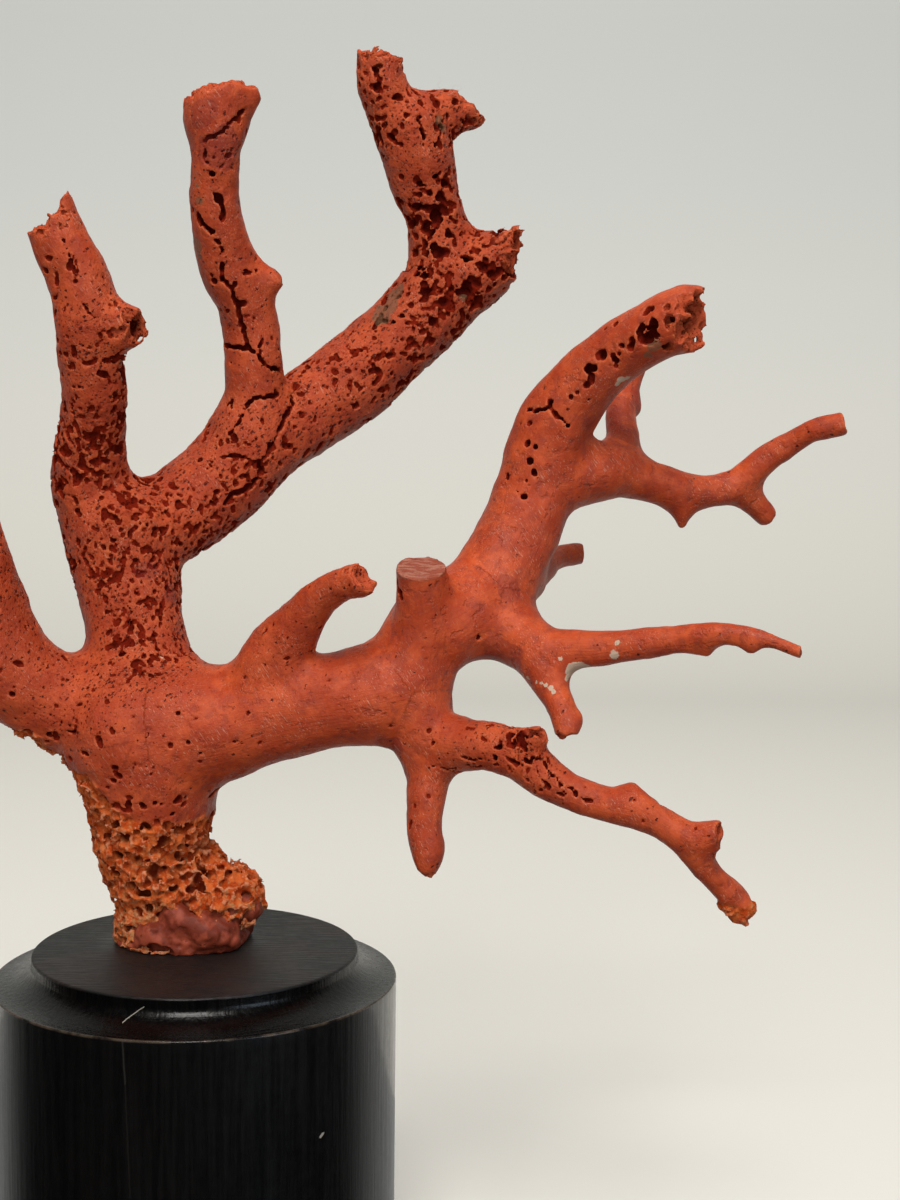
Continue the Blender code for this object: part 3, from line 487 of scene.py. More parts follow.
@dataclass(frozen=True)
class Lattice:
    """A box of sample points in millimetres, with the same step along each axis."""

    origin: Point
    shape: tuple[int, int, int]
    step: float

    def axes(self) -> list[Array]:
        """The sample coordinates along x, y and z."""
        return [
            (start + self.step * np.arange(count)).astype(np.float32)
            for start, count in zip(self.origin, self.shape)
        ]

    def finer(self) -> "Lattice":
        """The lattice that refine_all gives from samples on this one."""
        origin = tuple(start + self.step for start in self.origin)
        return Lattice(origin, tuple(3 * (count - 3) for count in self.shape), self.step / 3)

    def window(self, low: Array, high: Array) -> tuple[Array, Array]:
        """The index range, on each axis, that covers a box given by its two corners."""
        origin = np.asarray(self.origin)
        first = np.floor((low - origin) / self.step).astype(int)
        last = np.ceil((high - origin) / self.step).astype(int) + 1
        return np.clip(first, 0, self.shape), np.clip(last, 0, self.shape)

    def sample(self, values: Array, points: Array) -> tuple[Array, Array]:
        """Reads samples between the lattice points, by the weighted mean of a cell's eight corners.

        Args:
            values: samples on this lattice.
            points: where to read them, one row each.

        Returns:
            The value and the slope, a vector, at each point.
        """
        at = (points - np.asarray(self.origin)) / self.step
        cell = np.clip(np.floor(at), 0, np.asarray(self.shape) - 2).astype(np.int64)
        fx, fy, fz = (at - cell).T.astype(np.float32)
        _, ny, nz = self.shape
        base = (cell[:, 0] * ny + cell[:, 1]) * nz + cell[:, 2]
        flat = values.reshape(-1)
        near = [flat[base + i * ny * nz + j * nz + k] for i in (0, 1) for j in (0, 1) for k in (0, 1)]
        along_z = [near[n] + fz * (near[n + 1] - near[n]) for n in (0, 2, 4, 6)]
        rise_z = [near[n + 1] - near[n] for n in (0, 2, 4, 6)]
        low = along_z[0] + fy * (along_z[1] - along_z[0])
        high = along_z[2] + fy * (along_z[3] - along_z[2])
        rise_y = (along_z[1] - along_z[0]) * (1 - fx) + (along_z[3] - along_z[2]) * fx
        z_low = rise_z[0] + fy * (rise_z[1] - rise_z[0])
        z_high = rise_z[2] + fy * (rise_z[3] - rise_z[2])
        slope = np.stack([high - low, rise_y, z_low + fx * (z_high - z_low)], axis=1) / self.step
        return low + fx * (high - low), slope


def unit(vectors: Array) -> Array:
    """Vectors scaled to length one along the last axis."""
    return vectors / np.maximum(np.linalg.norm(vectors, axis=-1, keepdims=True), 1e-9)


def smoothstep(values: Array, low: float, high: float) -> Array:
    """0 at low, 1 at high and the curve 3t^2 - 2t^3 between them."""
    share = np.clip((values - low) / (high - low), 0, 1)
    return share * share * (3 - 2 * share)


class Noise:
    """Smooth random values that repeat every TILE samples, at the lattice's own step."""

    TILE = 96

    def __init__(self, seed: int) -> None:
        """Makes the tiles.

        Args:
            seed: the start of the random numbers.
        """
        rng = np.random.default_rng(seed)
        self.soft = self._soft(rng)
        self.grit = self._grit(rng)

    def _soft(self, rng: np.random.Generator) -> Array:
        """A tile of random values refined three times: humps about three millimetres apart."""
        coarse = rng.uniform(-1, 1, (self.TILE // 3,) * 3).astype(np.float32)
        return 3.0 * refine_all(np.pad(coarse, ((1, 2),) * 3, mode="wrap"))

    def _grit(self, rng: np.random.Generator) -> Array:
        """A tile of random values averaged once with their neighbours: grains of about a millimetre."""
        tile = rng.uniform(-1, 1, (self.TILE,) * 3).astype(np.float32)
        for axis in range(3):
            tile = 0.5 * tile + 0.25 * (np.roll(tile, 1, axis) + np.roll(tile, -1, axis))
        return 2.2 * tile

    def block(self, tile: Array, first: Array, last: Array) -> Array:
        """The tile's values in an index window, wrapped round."""
        rows = [np.arange(a, b) % self.TILE for a, b in zip(first, last)]
        return tile[np.ix_(*rows)]

    def at(self, tile: Array, points: Array, size: float) -> Array:
        """The tile's values at points, with the samples size millimetres apart.

        Args:
            tile: one of the tiles.
            points: where to read it.
            size: the distance between two samples.

        Returns:
            One value for each point, between the eight nearest samples.
        """
        places = points / size
        cell = np.floor(places).astype(np.int64)
        f = (places - cell).astype(np.float32)
        f = f * f * (3 - 2 * f)
        i, j, k = cell.T % self.TILE
        i2, j2, k2 = (cell.T + 1) % self.TILE
        fx, fy, fz = f.T
        c00 = tile[i, j, k] * (1 - fx) + tile[i2, j, k] * fx
        c10 = tile[i, j2, k] * (1 - fx) + tile[i2, j2, k] * fx
        c01 = tile[i, j, k2] * (1 - fx) + tile[i2, j, k2] * fx
        c11 = tile[i, j2, k2] * (1 - fx) + tile[i2, j2, k2] * fx
        return (c00 * (1 - fy) + c10 * fy) * (1 - fz) + (c01 * (1 - fy) + c11 * fy) * fz


# ---- the branches' distance field -------------------------------------------------------------


def smooth_run(stations: list[Station], spacing: float = 1.6) -> Array:
    """Close samples of the Catmull-Rom curve through the stations.

    Between stations b and c, with a before and d after, at share t:
    half of 2b + (c - a)t + (2a - 5b + 4c - d)t^2 + (3b - a - 3c + d)t^3.

    Args:
        stations: x, y, height and radius of each station.
        spacing: about how far apart the samples are, in millimetres.

    Returns:
        One row of x, y, height and radius for each sample.
    """
    rows = np.array([stations[0], *stations, stations[-1]], float)
    runs = []
    for a, b, c, d in zip(rows, rows[1:], rows[2:], rows[3:]):
        count = max(1, round(float(np.linalg.norm(c[:3] - b[:3])) / spacing))
        t = np.arange(count)[:, None] / count
        runs.append(
            0.5 * (2 * b + (c - a) * t + (2 * a - 5 * b + 4 * c - d) * t**2 + (3 * b - a - 3 * c + d) * t**3)
        )
    return np.vstack([*runs, rows[-1:]])


@dataclass
class Nearest:
    """What lies nearest to each of some points: the bone, how far along it, and the next branch."""

    distance: Array
    bone: Array
    share: Array
    fused: Array
    apart: Array


class Skeleton:
    """The branches as a chain of short bones, each a tapering round tube."""

    BLOCK = 9.0
    REACH = 7.0
    BLEND = 5.0
    BLEND_FULL_AT = 0.7

    def __init__(self, stations: dict[str, list[Station]]) -> None:
        """Lays the bones.

        Args:
            stations: the stations of each branch, by name.
        """
        self.names = list(stations)
        starts, spans, radii, growths, owners, arcs, sides, fronts = [], [], [], [], [], [], [], []
        for number, name in enumerate(self.names):
            run = smooth_run(stations[name])
            span = run[1:, :3] - run[:-1, :3]
            length = np.linalg.norm(span, axis=1)
            starts.append(run[:-1, :3])
            spans.append(span)
            radii.append(run[:-1, 3])
            growths.append(run[1:, 3] - run[:-1, 3])
            owners.append(np.full(len(span), number))
            arcs.append(np.concatenate([[0.0], np.cumsum(length)[:-1]]) + 31.0 * number)
            side, front = self._frames(unit(span))
            sides.append(side)
            fronts.append(front)
        self.start = np.vstack(starts).astype(np.float32)
        self.span = np.vstack(spans).astype(np.float32)
        self.radius = np.concatenate(radii).astype(np.float32)
        self.growth = np.concatenate(growths).astype(np.float32)
        self.owner = np.concatenate(owners)
        self.arc = np.concatenate(arcs).astype(np.float32)
        self.side = np.vstack(sides).astype(np.float32)
        self.front = np.vstack(fronts).astype(np.float32)
        self.length = np.linalg.norm(self.span, axis=1)

    @staticmethod
    def _frames(along: Array) -> tuple[Array, Array]:
        """Two directions across each bone, carried from bone to bone with the least turning.

        Args:
            along: the unit direction of each bone of one branch.

        Returns:
            The first and the second direction across, one row a bone.
        """
        side = np.cross(along[0], (0.0, 0.0, 1.0) if abs(along[0][2]) < 0.9 else (1.0, 0.0, 0.0))
        sides = []
        for direction in along:
            side = unit(side - direction * np.dot(side, direction))
            sides.append(side)
        first = np.array(sides)
        return first, np.cross(along, first)

    def _gauge(self, points: Array, bones: Array) -> tuple[Array, Array, Array]:
        """Distance from each point to the skin of each of some bones.

        With w from the bone's start to the point, h is w along the bone over its length, held
        between 0 and 1, and the distance is the length of w - h * span less the radius at h.

        Args:
            points: one row each.
            bones: the numbers of the bones.

        Returns:
            The distances, the shares h and the outward directions, bones by points.
        """
        span = self.span[bones][:, None]
        way = points[None] - self.start[bones][:, None]
        share = np.clip((way * span).sum(-1) / (self.length[bones] ** 2)[:, None], 0, 1)
        way = way - share[..., None] * span
        reach = np.sqrt((way * way).sum(-1))
        skin = self.radius[bones][:, None] + share * self.growth[bones][:, None]
        return reach - skin, share, way / np.maximum(reach, 1e-6)[..., None]

    def _block(self, points: Array) -> tuple[Array, ...]:
        """The nearest bone and the fused distance for points that lie close together.

        Two branches are blended where they part: with a the nearer distance, b the next branch's
        and k = BLEND times one less the cosine between the ways out of them, the fused distance is
        a less k (1 - (b - a)/k)^2 / 4 where b - a is under k.
        """
        low, high = points.min(0), points.max(0)
        centre = ((low + high) / 2)[None]
        half = float(np.linalg.norm(high - low)) / 2
        rough = self._gauge(centre, np.arange(len(self.owner)))[0][:, 0]
        bones = np.flatnonzero(rough < rough.min() + 2 * half + self.REACH)
        distance, share, out = self._gauge(points, bones)
        pick = np.arange(len(points))
        first = distance.argmin(0)
        owner = self.owner[bones]
        others = np.where(owner[:, None] == owner[first][None], np.float32(99.0), distance)
        second = others.argmin(0)
        near, gap = distance[first, pick], others[second, pick] - distance[first, pick]
        cosine = (out[first, pick] * out[second, pick]).sum(-1)
        k = self.BLEND * np.clip((1 - cosine) / self.BLEND_FULL_AT, 1e-4, 1)
        fused = near - k * np.clip(1 - gap / k, 0, 1) ** 2 / 4
        apart = np.where(cosine > 0.85, 9.0, gap)
        return near, bones[first], share[first, pick], fused, apart

    def nearest(self, points: Array) -> Nearest:
        """What lies nearest to each point, worked out block by block on all cores.

        Args:
            points: one row each, in any order.

        Returns:
            One entry for each point, in the same order.
        """
        points = points.astype(np.float32)
        block = np.floor(points / self.BLOCK).astype(np.int64) + 64
        key = (block[:, 0] * 128 + block[:, 1]) * 128 + block[:, 2]
        order = np.argsort(key, kind="stable")
        groups = np.split(order, np.flatnonzero(np.diff(key[order])) + 1)
        with ThreadPoolExecutor(4) as pool:
            results = list(pool.map(lambda group: self._block(points[group]), groups))
        back = np.empty(len(points), np.int64)
        back[order] = np.arange(len(points))
        return Nearest(*(np.concatenate(column)[back] for column in zip(*results)))

    def grain(self, points: Array, found: Nearest) -> Array:
        """Coordinates that run with the branches: across, across and along, in millimetres."""
        bones = found.bone
        way = points - self.start[bones]
        along = self.arc[bones] + found.share * self.length[bones]
        return np.stack(
            [(way * self.side[bones]).sum(1), (way * self.front[bones]).sum(1), along], axis=1
        )


# ---- carving ----------------------------------------------------------------------------------


@dataclass
class Slots:
    """Holes and slits to cut: each is swept inward from a point or a short line on the skin."""

    start: Array
    span: Array
    inward: Array
    depth: Array
    radius: Array

    @staticmethod
    def joined(parts: list["Slots"]) -> "Slots":
        """All rows of several sets in one."""
        names = ("start", "span", "inward", "depth", "radius")
        return Slots(*(np.concatenate([getattr(part, name) for part in parts]) for name in names))


class Block:
    """The coral's field: negative inside, in millimetres, on one dense lattice."""

    COARSE = Lattice((-92.0, -51.0, -5.5), (181, 84, 165), 1.35)
    FAR = 4.0
    DEEP = -9.0
    MARGIN = 0.9

    def __init__(self, skeleton: Skeleton, noise: Noise) -> None:
        """Fills the field from the skeleton.

        Args:
            skeleton: the branches.
            noise: random values for lumps and teeth.
        """
        self.skeleton = skeleton
        self.noise = noise
        self.lattice = self.COARSE.finer()
        self.values = refine_all(self._lumped(self._distances()))
        self.skin = self.values.copy()

    def _distances(self) -> Array:
        """The fused distance at the coarse samples that lie near the skin, and a rough one elsewhere."""
        coarse = self.COARSE
        side = 6
        x, y, z = coarse.axes()
        middles = [axis[::side] + coarse.step * (side - 1) / 2 for axis in (x, y, z)]
        grid = np.stack(np.meshgrid(*middles, indexing="ij"), -1).reshape(-1, 3)
        rough = self.skeleton.nearest(grid).distance.reshape([len(m) for m in middles])
        spread = rough
        for axis in range(3):
            spread = np.repeat(spread, side, axis)
        spread = spread[: coarse.shape[0], : coarse.shape[1], : coarse.shape[2]]
        values = np.clip(spread, self.DEEP, self.FAR).astype(np.float32)
        half = coarse.step * side * math.sqrt(3) / 2
        near = np.flatnonzero((np.abs(spread) < half + 3.0).reshape(-1))
        i, j, k = np.unravel_index(near, coarse.shape)
        points = np.stack([x[i], y[j], z[k]], axis=1)
        values.reshape(-1)[near] = self.skeleton.nearest(points).fused
        return np.clip(values, self.DEEP, self.FAR)

    def _lumped(self, values: Array) -> Array:
        """Adds low lumps all over, and rougher ones to the crumbly foot."""
        coarse = self.COARSE
        rng = np.random.default_rng(SEED)
        sizes = [count // 3 + 5 for count in coarse.shape]
        window = tuple(slice(0, count) for count in coarse.shape)
        wide = refine_all(rng.uniform(-1, 1, sizes).astype(np.float32))[window]
        close = rng.uniform(-1, 1, coarse.shape).astype(np.float32)
        x, y, z = coarse.axes()
        foot = sponge_share(x[:, None, None], z[None, None, :], wide * 3.0)
        return values + wide * 0.95 + close * (0.16 + 0.95 * foot)

    def cut(self, slots: Slots, ragged: float = 0.28) -> None:
        """Cuts the slots out of the field.

        For a point at w from the start, its part along inward, held between -0.5 and the depth, is
        taken off w, then its part along the span, held between 0 and 1; the length left less the
        radius and some noise is the distance to the slot.

        Args:
            slots: the holes and slits.
            ragged: how far the noise moves their edges.
        """
        ends = slots.start + slots.span
        deep = slots.inward * slots.depth[:, None]
        corners = np.stack([slots.start, ends, slots.start + deep, ends + deep])
        reach = (slots.radius + self.MARGIN)[:, None]
        firsts, lasts = self.lattice.window(corners.min(0) - reach, corners.max(0) + reach)
        x, y, z = self.lattice.axes()
        squares = np.maximum((slots.span**2).sum(1), 1e-6)
        for row in range(len(ends)):
            (i, j, k), (i2, j2, k2) = firsts[row], lasts[row]
            if i2 <= i or j2 <= j or k2 <= k:
                continue
            start, inward, span = slots.start[row], slots.inward[row], slots.span[row]
            wx = (x[i:i2] - start[0])[:, None, None]
            wy = (y[j:j2] - start[1])[None, :, None]
            wz = (z[k:k2] - start[2])[None, None, :]
            down = np.clip(wx * inward[0] + wy * inward[1] + wz * inward[2], -0.5, slots.depth[row])
            wx, wy, wz = wx - down * inward[0], wy - down * inward[1], wz - down * inward[2]
            share = np.clip((wx * span[0] + wy * span[1] + wz * span[2]) / squares[row], 0, 1)
            wx, wy, wz = wx - share * span[0], wy - share * span[1], wz - share * span[2]
            hole = np.sqrt(wx * wx + wy * wy + wz * wz) - slots.radius[row]
            grit = self.noise.block(self.noise.grit, firsts[row], lasts[row])
            soft = self.noise.block(self.noise.soft, firsts[row], lasts[row])
            hole += ragged * min(1.1, 0.25 + 0.4 * slots.radius[row]) * (grit + 0.7 * soft)
            window = self.values[i:i2, j:j2, k:k2]
            np.maximum(window, -hole, out=window)

    def roughen(self, height: Callable[[Array], Array], band: float = 1.6) -> None:
        """Adds sharp grains to the field near the skin.

        Args:
            height: gives how high they stand at each of some points, in millimetres.
            band: how far from the skin the field is changed.
        """
        chosen = np.flatnonzero((np.abs(self.skin) < band).reshape(-1))
        index = np.unravel_index(chosen, self.lattice.shape)
        points = (np.asarray(self.lattice.origin) + np.stack(index, 1) * self.lattice.step).astype(np.float32)
        i, j, k = (axis % self.noise.TILE for axis in index)
        grain = self.noise.grit[i, j, k] + 0.7 * self.noise.soft[i, j, k]
        self.values.reshape(-1)[chosen] += height(points) * grain

    def break_end(self, place: Array, facing: Array, reach: float, ragged: float) -> None:
        """Takes off what lies beyond a rough plane, within a ball about a branch's end.

        Args:
            place: a point on the broken face, the ball's centre.
            facing: the unit direction that the face looks in.
            reach: the ball's radius.
            ragged: how far the face's teeth stand out.
        """
        firsts, lasts = self.lattice.window(place - reach, place + reach)
        (i, j, k), (i2, j2, k2) = firsts, lasts
        x, y, z = self.lattice.axes()
        wx = (x[i:i2] - place[0])[:, None, None]
        wy = (y[j:j2] - place[1])[None, :, None]
        wz = (z[k:k2] - place[2])[None, None, :]
        beyond = wx * facing[0] + wy * facing[1] + wz * facing[2]
        teeth = self.noise.block(self.noise.soft, firsts, lasts)
        grit = self.noise.block(self.noise.grit, firsts, lasts)
        beyond = beyond + ragged * (0.8 * teeth + 0.45 * grit)
        within = reach - np.sqrt(wx * wx + wy * wy + wz * wz)
        window = self.values[i:i2, j:j2, k:k2]
        np.maximum(window, np.minimum(beyond, within), out=window)

    def on_skin(self, origin: Array, ways: Array, near: float, far: float) -> tuple[Array, Array]:
        """Where lines of sight first meet the skin.

        Args:
            origin: the eye.
            ways: unit directions, one row each.
            near: the least distance to look at.
            far: the most.

        Returns:
            The points met, and which of the lines met one.
        """
        steps = np.arange(near, far, 0.25)
        points = origin + ways[:, None] * steps[None, :, None]
        index = np.round((points - np.asarray(self.lattice.origin)) / self.lattice.step).astype(int)
        held = np.clip(index, 0, np.asarray(self.lattice.shape) - 1)
        inside = (self.skin[tuple(np.moveaxis(held, -1, 0))] < 0) & (held == index).all(-1)
        met = inside.any(1)
        first = inside.argmax(1)
        return points[np.arange(len(ways)), first][met], met

    def inward(self, points: Array) -> Array:
        """The unit direction into the coral at points near its skin."""
        return -unit(self.lattice.sample(self.skin, points)[1])

    def shell(self, outer: float, inner: float) -> Array:
        """The lattice points whose skin distance lies between two values, one row each."""
        chosen = np.flatnonzero(((self.skin < outer) & (self.skin > inner)).reshape(-1))
        index = np.stack(np.unravel_index(chosen, self.lattice.shape), axis=1)
        return (np.asarray(self.lattice.origin) + index * self.lattice.step).astype(np.float32)


def sponge_share(x: Array, height: Array, shift: Array) -> Array:
    """How far the foot's sponge reaches: 1 within it and 0 above its ragged upper edge.

    Args:
        x: where along the plinth's width.
        height: height above the plinth.
        shift: noise that moves the edge up and down.

    Returns:
        The share at each place.
    """
    edge_x = (-44.0, -33.0, -25.0, -19.0, -13.0, -4.0, 3.0, 8.0, 20.0)
    edge_height = (53.5, 49.5, 43.0, 38.5, 34.0, 31.0, 31.5, 31.0, 20.0)
    edge = np.interp(x, edge_x, edge_height).astype(np.float32)
    return smoothstep(edge + shift - height, -1.0, 1.5)


# ---- from the field to a mesh -----------------------------------------------------------------


@dataclass
class Surface:
    """A mesh of four-sided faces in millimetres, with a normal for each vertex."""

    points: Array
    quads: Array
    normals: Array


def level_surface(values: Array, lattice: Lattice) -> Surface:
    """The zero level of a field, one vertex in each cell that it passes through.

    Each lattice edge whose ends differ in sign gives a crossing, placed in proportion to the two
    values. A cell's vertex is the mean of the crossings on its edges, and each crossing gives a
    face through the four cells round its edge. The vertices are then drawn onto the level along
    the field's slope, and the slope and the faces' own normals together give theirs.

    Args:
        values: the field, negative inside.
        lattice: its lattice.

    Returns:
        The surface, facing outward.
    """
    inside = values < 0
    shape = np.asarray(values.shape)
    strides = np.array([shape[1] * shape[2], shape[2], 1])
    flat = values.reshape(-1)
    cells, crossings = [], []
    for axis in range(3):
        low = [slice(None)] * 3
        high = [slice(None)] * 3
        low[axis], high[axis] = slice(0, -1), slice(1, None)
        changed = inside[tuple(low)] != inside[tuple(high)]
        index = np.stack(np.nonzero(changed), axis=1)
        start = index @ strides
        first, second = flat[start], flat[start + strides[axis]]
        place = index.astype(np.float32)
        place[:, axis] += first / (first - second)
        b, c = strides[(axis + 1) % 3], strides[(axis + 2) % 3]
        ring = np.stack([start - b - c, start - c, start, start - b], axis=1)
        ring[first >= 0] = ring[first >= 0][:, ::-1]
        cells.append(ring)
        crossings.append(place)
    rings, places = np.vstack(cells), np.vstack(crossings)
    ids, quads = np.unique(rings.reshape(-1), return_inverse=True)
    count = np.bincount(quads)
    points = np.stack(
        [np.bincount(quads, np.repeat(places[:, axis], 4)) / count for axis in range(3)], axis=1
    )
    quads = quads.reshape(-1, 4)
    points = np.asarray(lattice.origin) + points * lattice.step
    held = 0.35 * lattice.step
    for _ in range(2):
        value, slope = lattice.sample(values, points)
        square = np.maximum((slope**2).sum(1), 0.05)
        move = -slope * (value / square)[:, None]
        size = np.maximum(np.linalg.norm(move, axis=1, keepdims=True), 1e-9)
        points = points + move * np.minimum(1, held / size) * 0.8
    slope = unit(lattice.sample(values, points)[1])
    return Surface(points, quads, unit(0.55 * slope + 0.45 * mesh_normals(points, quads)))


def mesh_normals(points: Array, quads: Array) -> Array:
    """Vertex normals: the mean of the cross products of the diagonals of the faces round each."""
    corners = points[quads]
    across = np.cross(corners[:, 2] - corners[:, 0], corners[:, 3] - corners[:, 1])
    total = np.stack(
        [np.bincount(quads.reshape(-1), np.repeat(across[:, a], 4), len(points)) for a in range(3)],
        axis=1,
    )
    return unit(total)


def edges_of(quads: Array) -> Array:
    """The four edges of each face, as rows of two vertex numbers in the face's order."""
    return np.stack([quads, np.roll(quads, -1, axis=1)], axis=2).reshape(-1, 2)


def connected(count: int, edges: Array) -> Array:
    """A number for each vertex that is the same for all vertices joined by edges.

    Every vertex takes the least number among its neighbours and then that vertex's own number,
    until nothing changes.

    Args:
        count: how many vertices there are.
        edges: rows of two vertex numbers.

    Returns:
        The least vertex number in each vertex's island.
    """
    island = np.arange(count)
    a, b = edges.T
    while True:
        lowest = np.minimum(island[a], island[b])
        after = island.copy()
        np.minimum.at(after, a, lowest)
        np.minimum.at(after, b, lowest)
        after = after[after]
        after = after[after]
        if (after == island).all():
            return island
        island = after


def without_crumbs(surface: Surface, least: int) -> Surface:
    """The surface without loose islands and sealed bubbles of fewer vertices than least."""
    island = connected(len(surface.points), edges_of(surface.quads))
    size = np.bincount(island, minlength=len(island))
    keep = size[island] >= least
    number = np.cumsum(keep) - 1
    quads = surface.quads[keep[surface.quads[:, 0]]]
    return Surface(surface.points[keep], number[quads], surface.normals[keep])


def bulge(surface: Surface, step: float) -> Array:
    """How far each vertex stands out from its neighbours, in steps: positive on ridges."""
    a, b = edges_of(surface.quads).T
    count = np.bincount(a, minlength=len(surface.points))
    mean = np.stack(
        [np.bincount(a, surface.points[b, axis], len(count)) for axis in range(3)], axis=1
    ) / np.maximum(count, 1)[:, None]
    return ((surface.points - mean) * surface.normals).sum(1) / step


def mesh_object(name: str, points: Array, corners: Array, sizes: Array) -> bpy.types.Object:
    """A new smooth-shaded mesh object.

    Args:
        name: its name.
        points: vertices in metres above the plinth's foot.
        corners: the vertex number of each face corner, face after face.
        sizes: how many corners each face has.

    Returns:
        The object, in the scene.
    """
    mesh = bpy.data.meshes.new(name)
    mesh.vertices.add(len(points))
    mesh.vertices.foreach_set("co", points.astype(np.float32).reshape(-1))
    mesh.loops.add(len(corners))
    mesh.loops.foreach_set("vertex_index", corners.astype(np.int32))
    mesh.polygons.add(len(sizes))
    mesh.polygons.foreach_set("loop_start", (np.cumsum(sizes) - sizes).astype(np.int32))
    mesh.update(calc_edges=True)
    mesh.validate()
    mesh.shade_smooth()
    obj = bpy.data.objects.new(name, mesh)
    bpy.context.scene.collection.objects.link(obj)
    return obj


def raised(points: Array) -> Array:
    """Points given in millimetres above the plinth, in metres above its foot."""
    return (points + np.array((0.0, 0.0, PLINTH_HEIGHT))) * MM


def add_values(obj: bpy.types.Object, name: str, values: Array) -> None:
    """Stores one number, or one vector, for each vertex under a name."""
    kind, slot = ("FLOAT_VECTOR", "vector") if values.ndim == 2 else ("FLOAT", "value")
    layer = obj.data.attributes.new(name, kind, "POINT")
    layer.data.foreach_set(slot, values.astype(np.float32).reshape(-1))


def report(obj: bpy.types.Object) -> None:
    """Logs a piece's name and its number of triangles."""
    triangles = sum(len(polygon.vertices) - 2 for polygon in obj.data.polygons) if (
        len(obj.data.polygons) < 5000
    ) else len(obj.data.loops) - 2 * len(obj.data.polygons)
    LOG.info("%s: %d triangles", obj.name, triangles)


# ---- the coral --------------------------------------------------------------------------------


@dataclass(frozen=True)
class Sight:
    """The view that the marks on the coral's front are given in."""

    eye: Point = (56.2, -401.3, 119.0)
    pitch: float = math.radians(5.64)
    roll: float = math.radians(0.65)
    focal: float = 1826.0
    middle: tuple[float, float] = (450.0, 600.0)

    def ways(self, places: Array) -> Array:
        """Unit directions from the eye through places in the view.

        The place is taken off the middle, turned by the roll, divided by the focal length and
        turned down by the pitch.

        Args:
            places: rows of across and down, in the 900 by 1200 view.

        Returns:
            One direction for each row.
        """
        across, down = (places - np.asarray(self.middle)).T
        cos_r, sin_r = math.cos(self.roll), math.sin(self.roll)
        cos_p, sin_p = math.cos(self.pitch), math.sin(self.pitch)
        right = (across * cos_r + down * sin_r) / self.focal
        up = (across * sin_r - down * cos_r) / self.focal
        return unit(np.stack([right, cos_p + up * sin_p, up * cos_p - sin_p], axis=1))


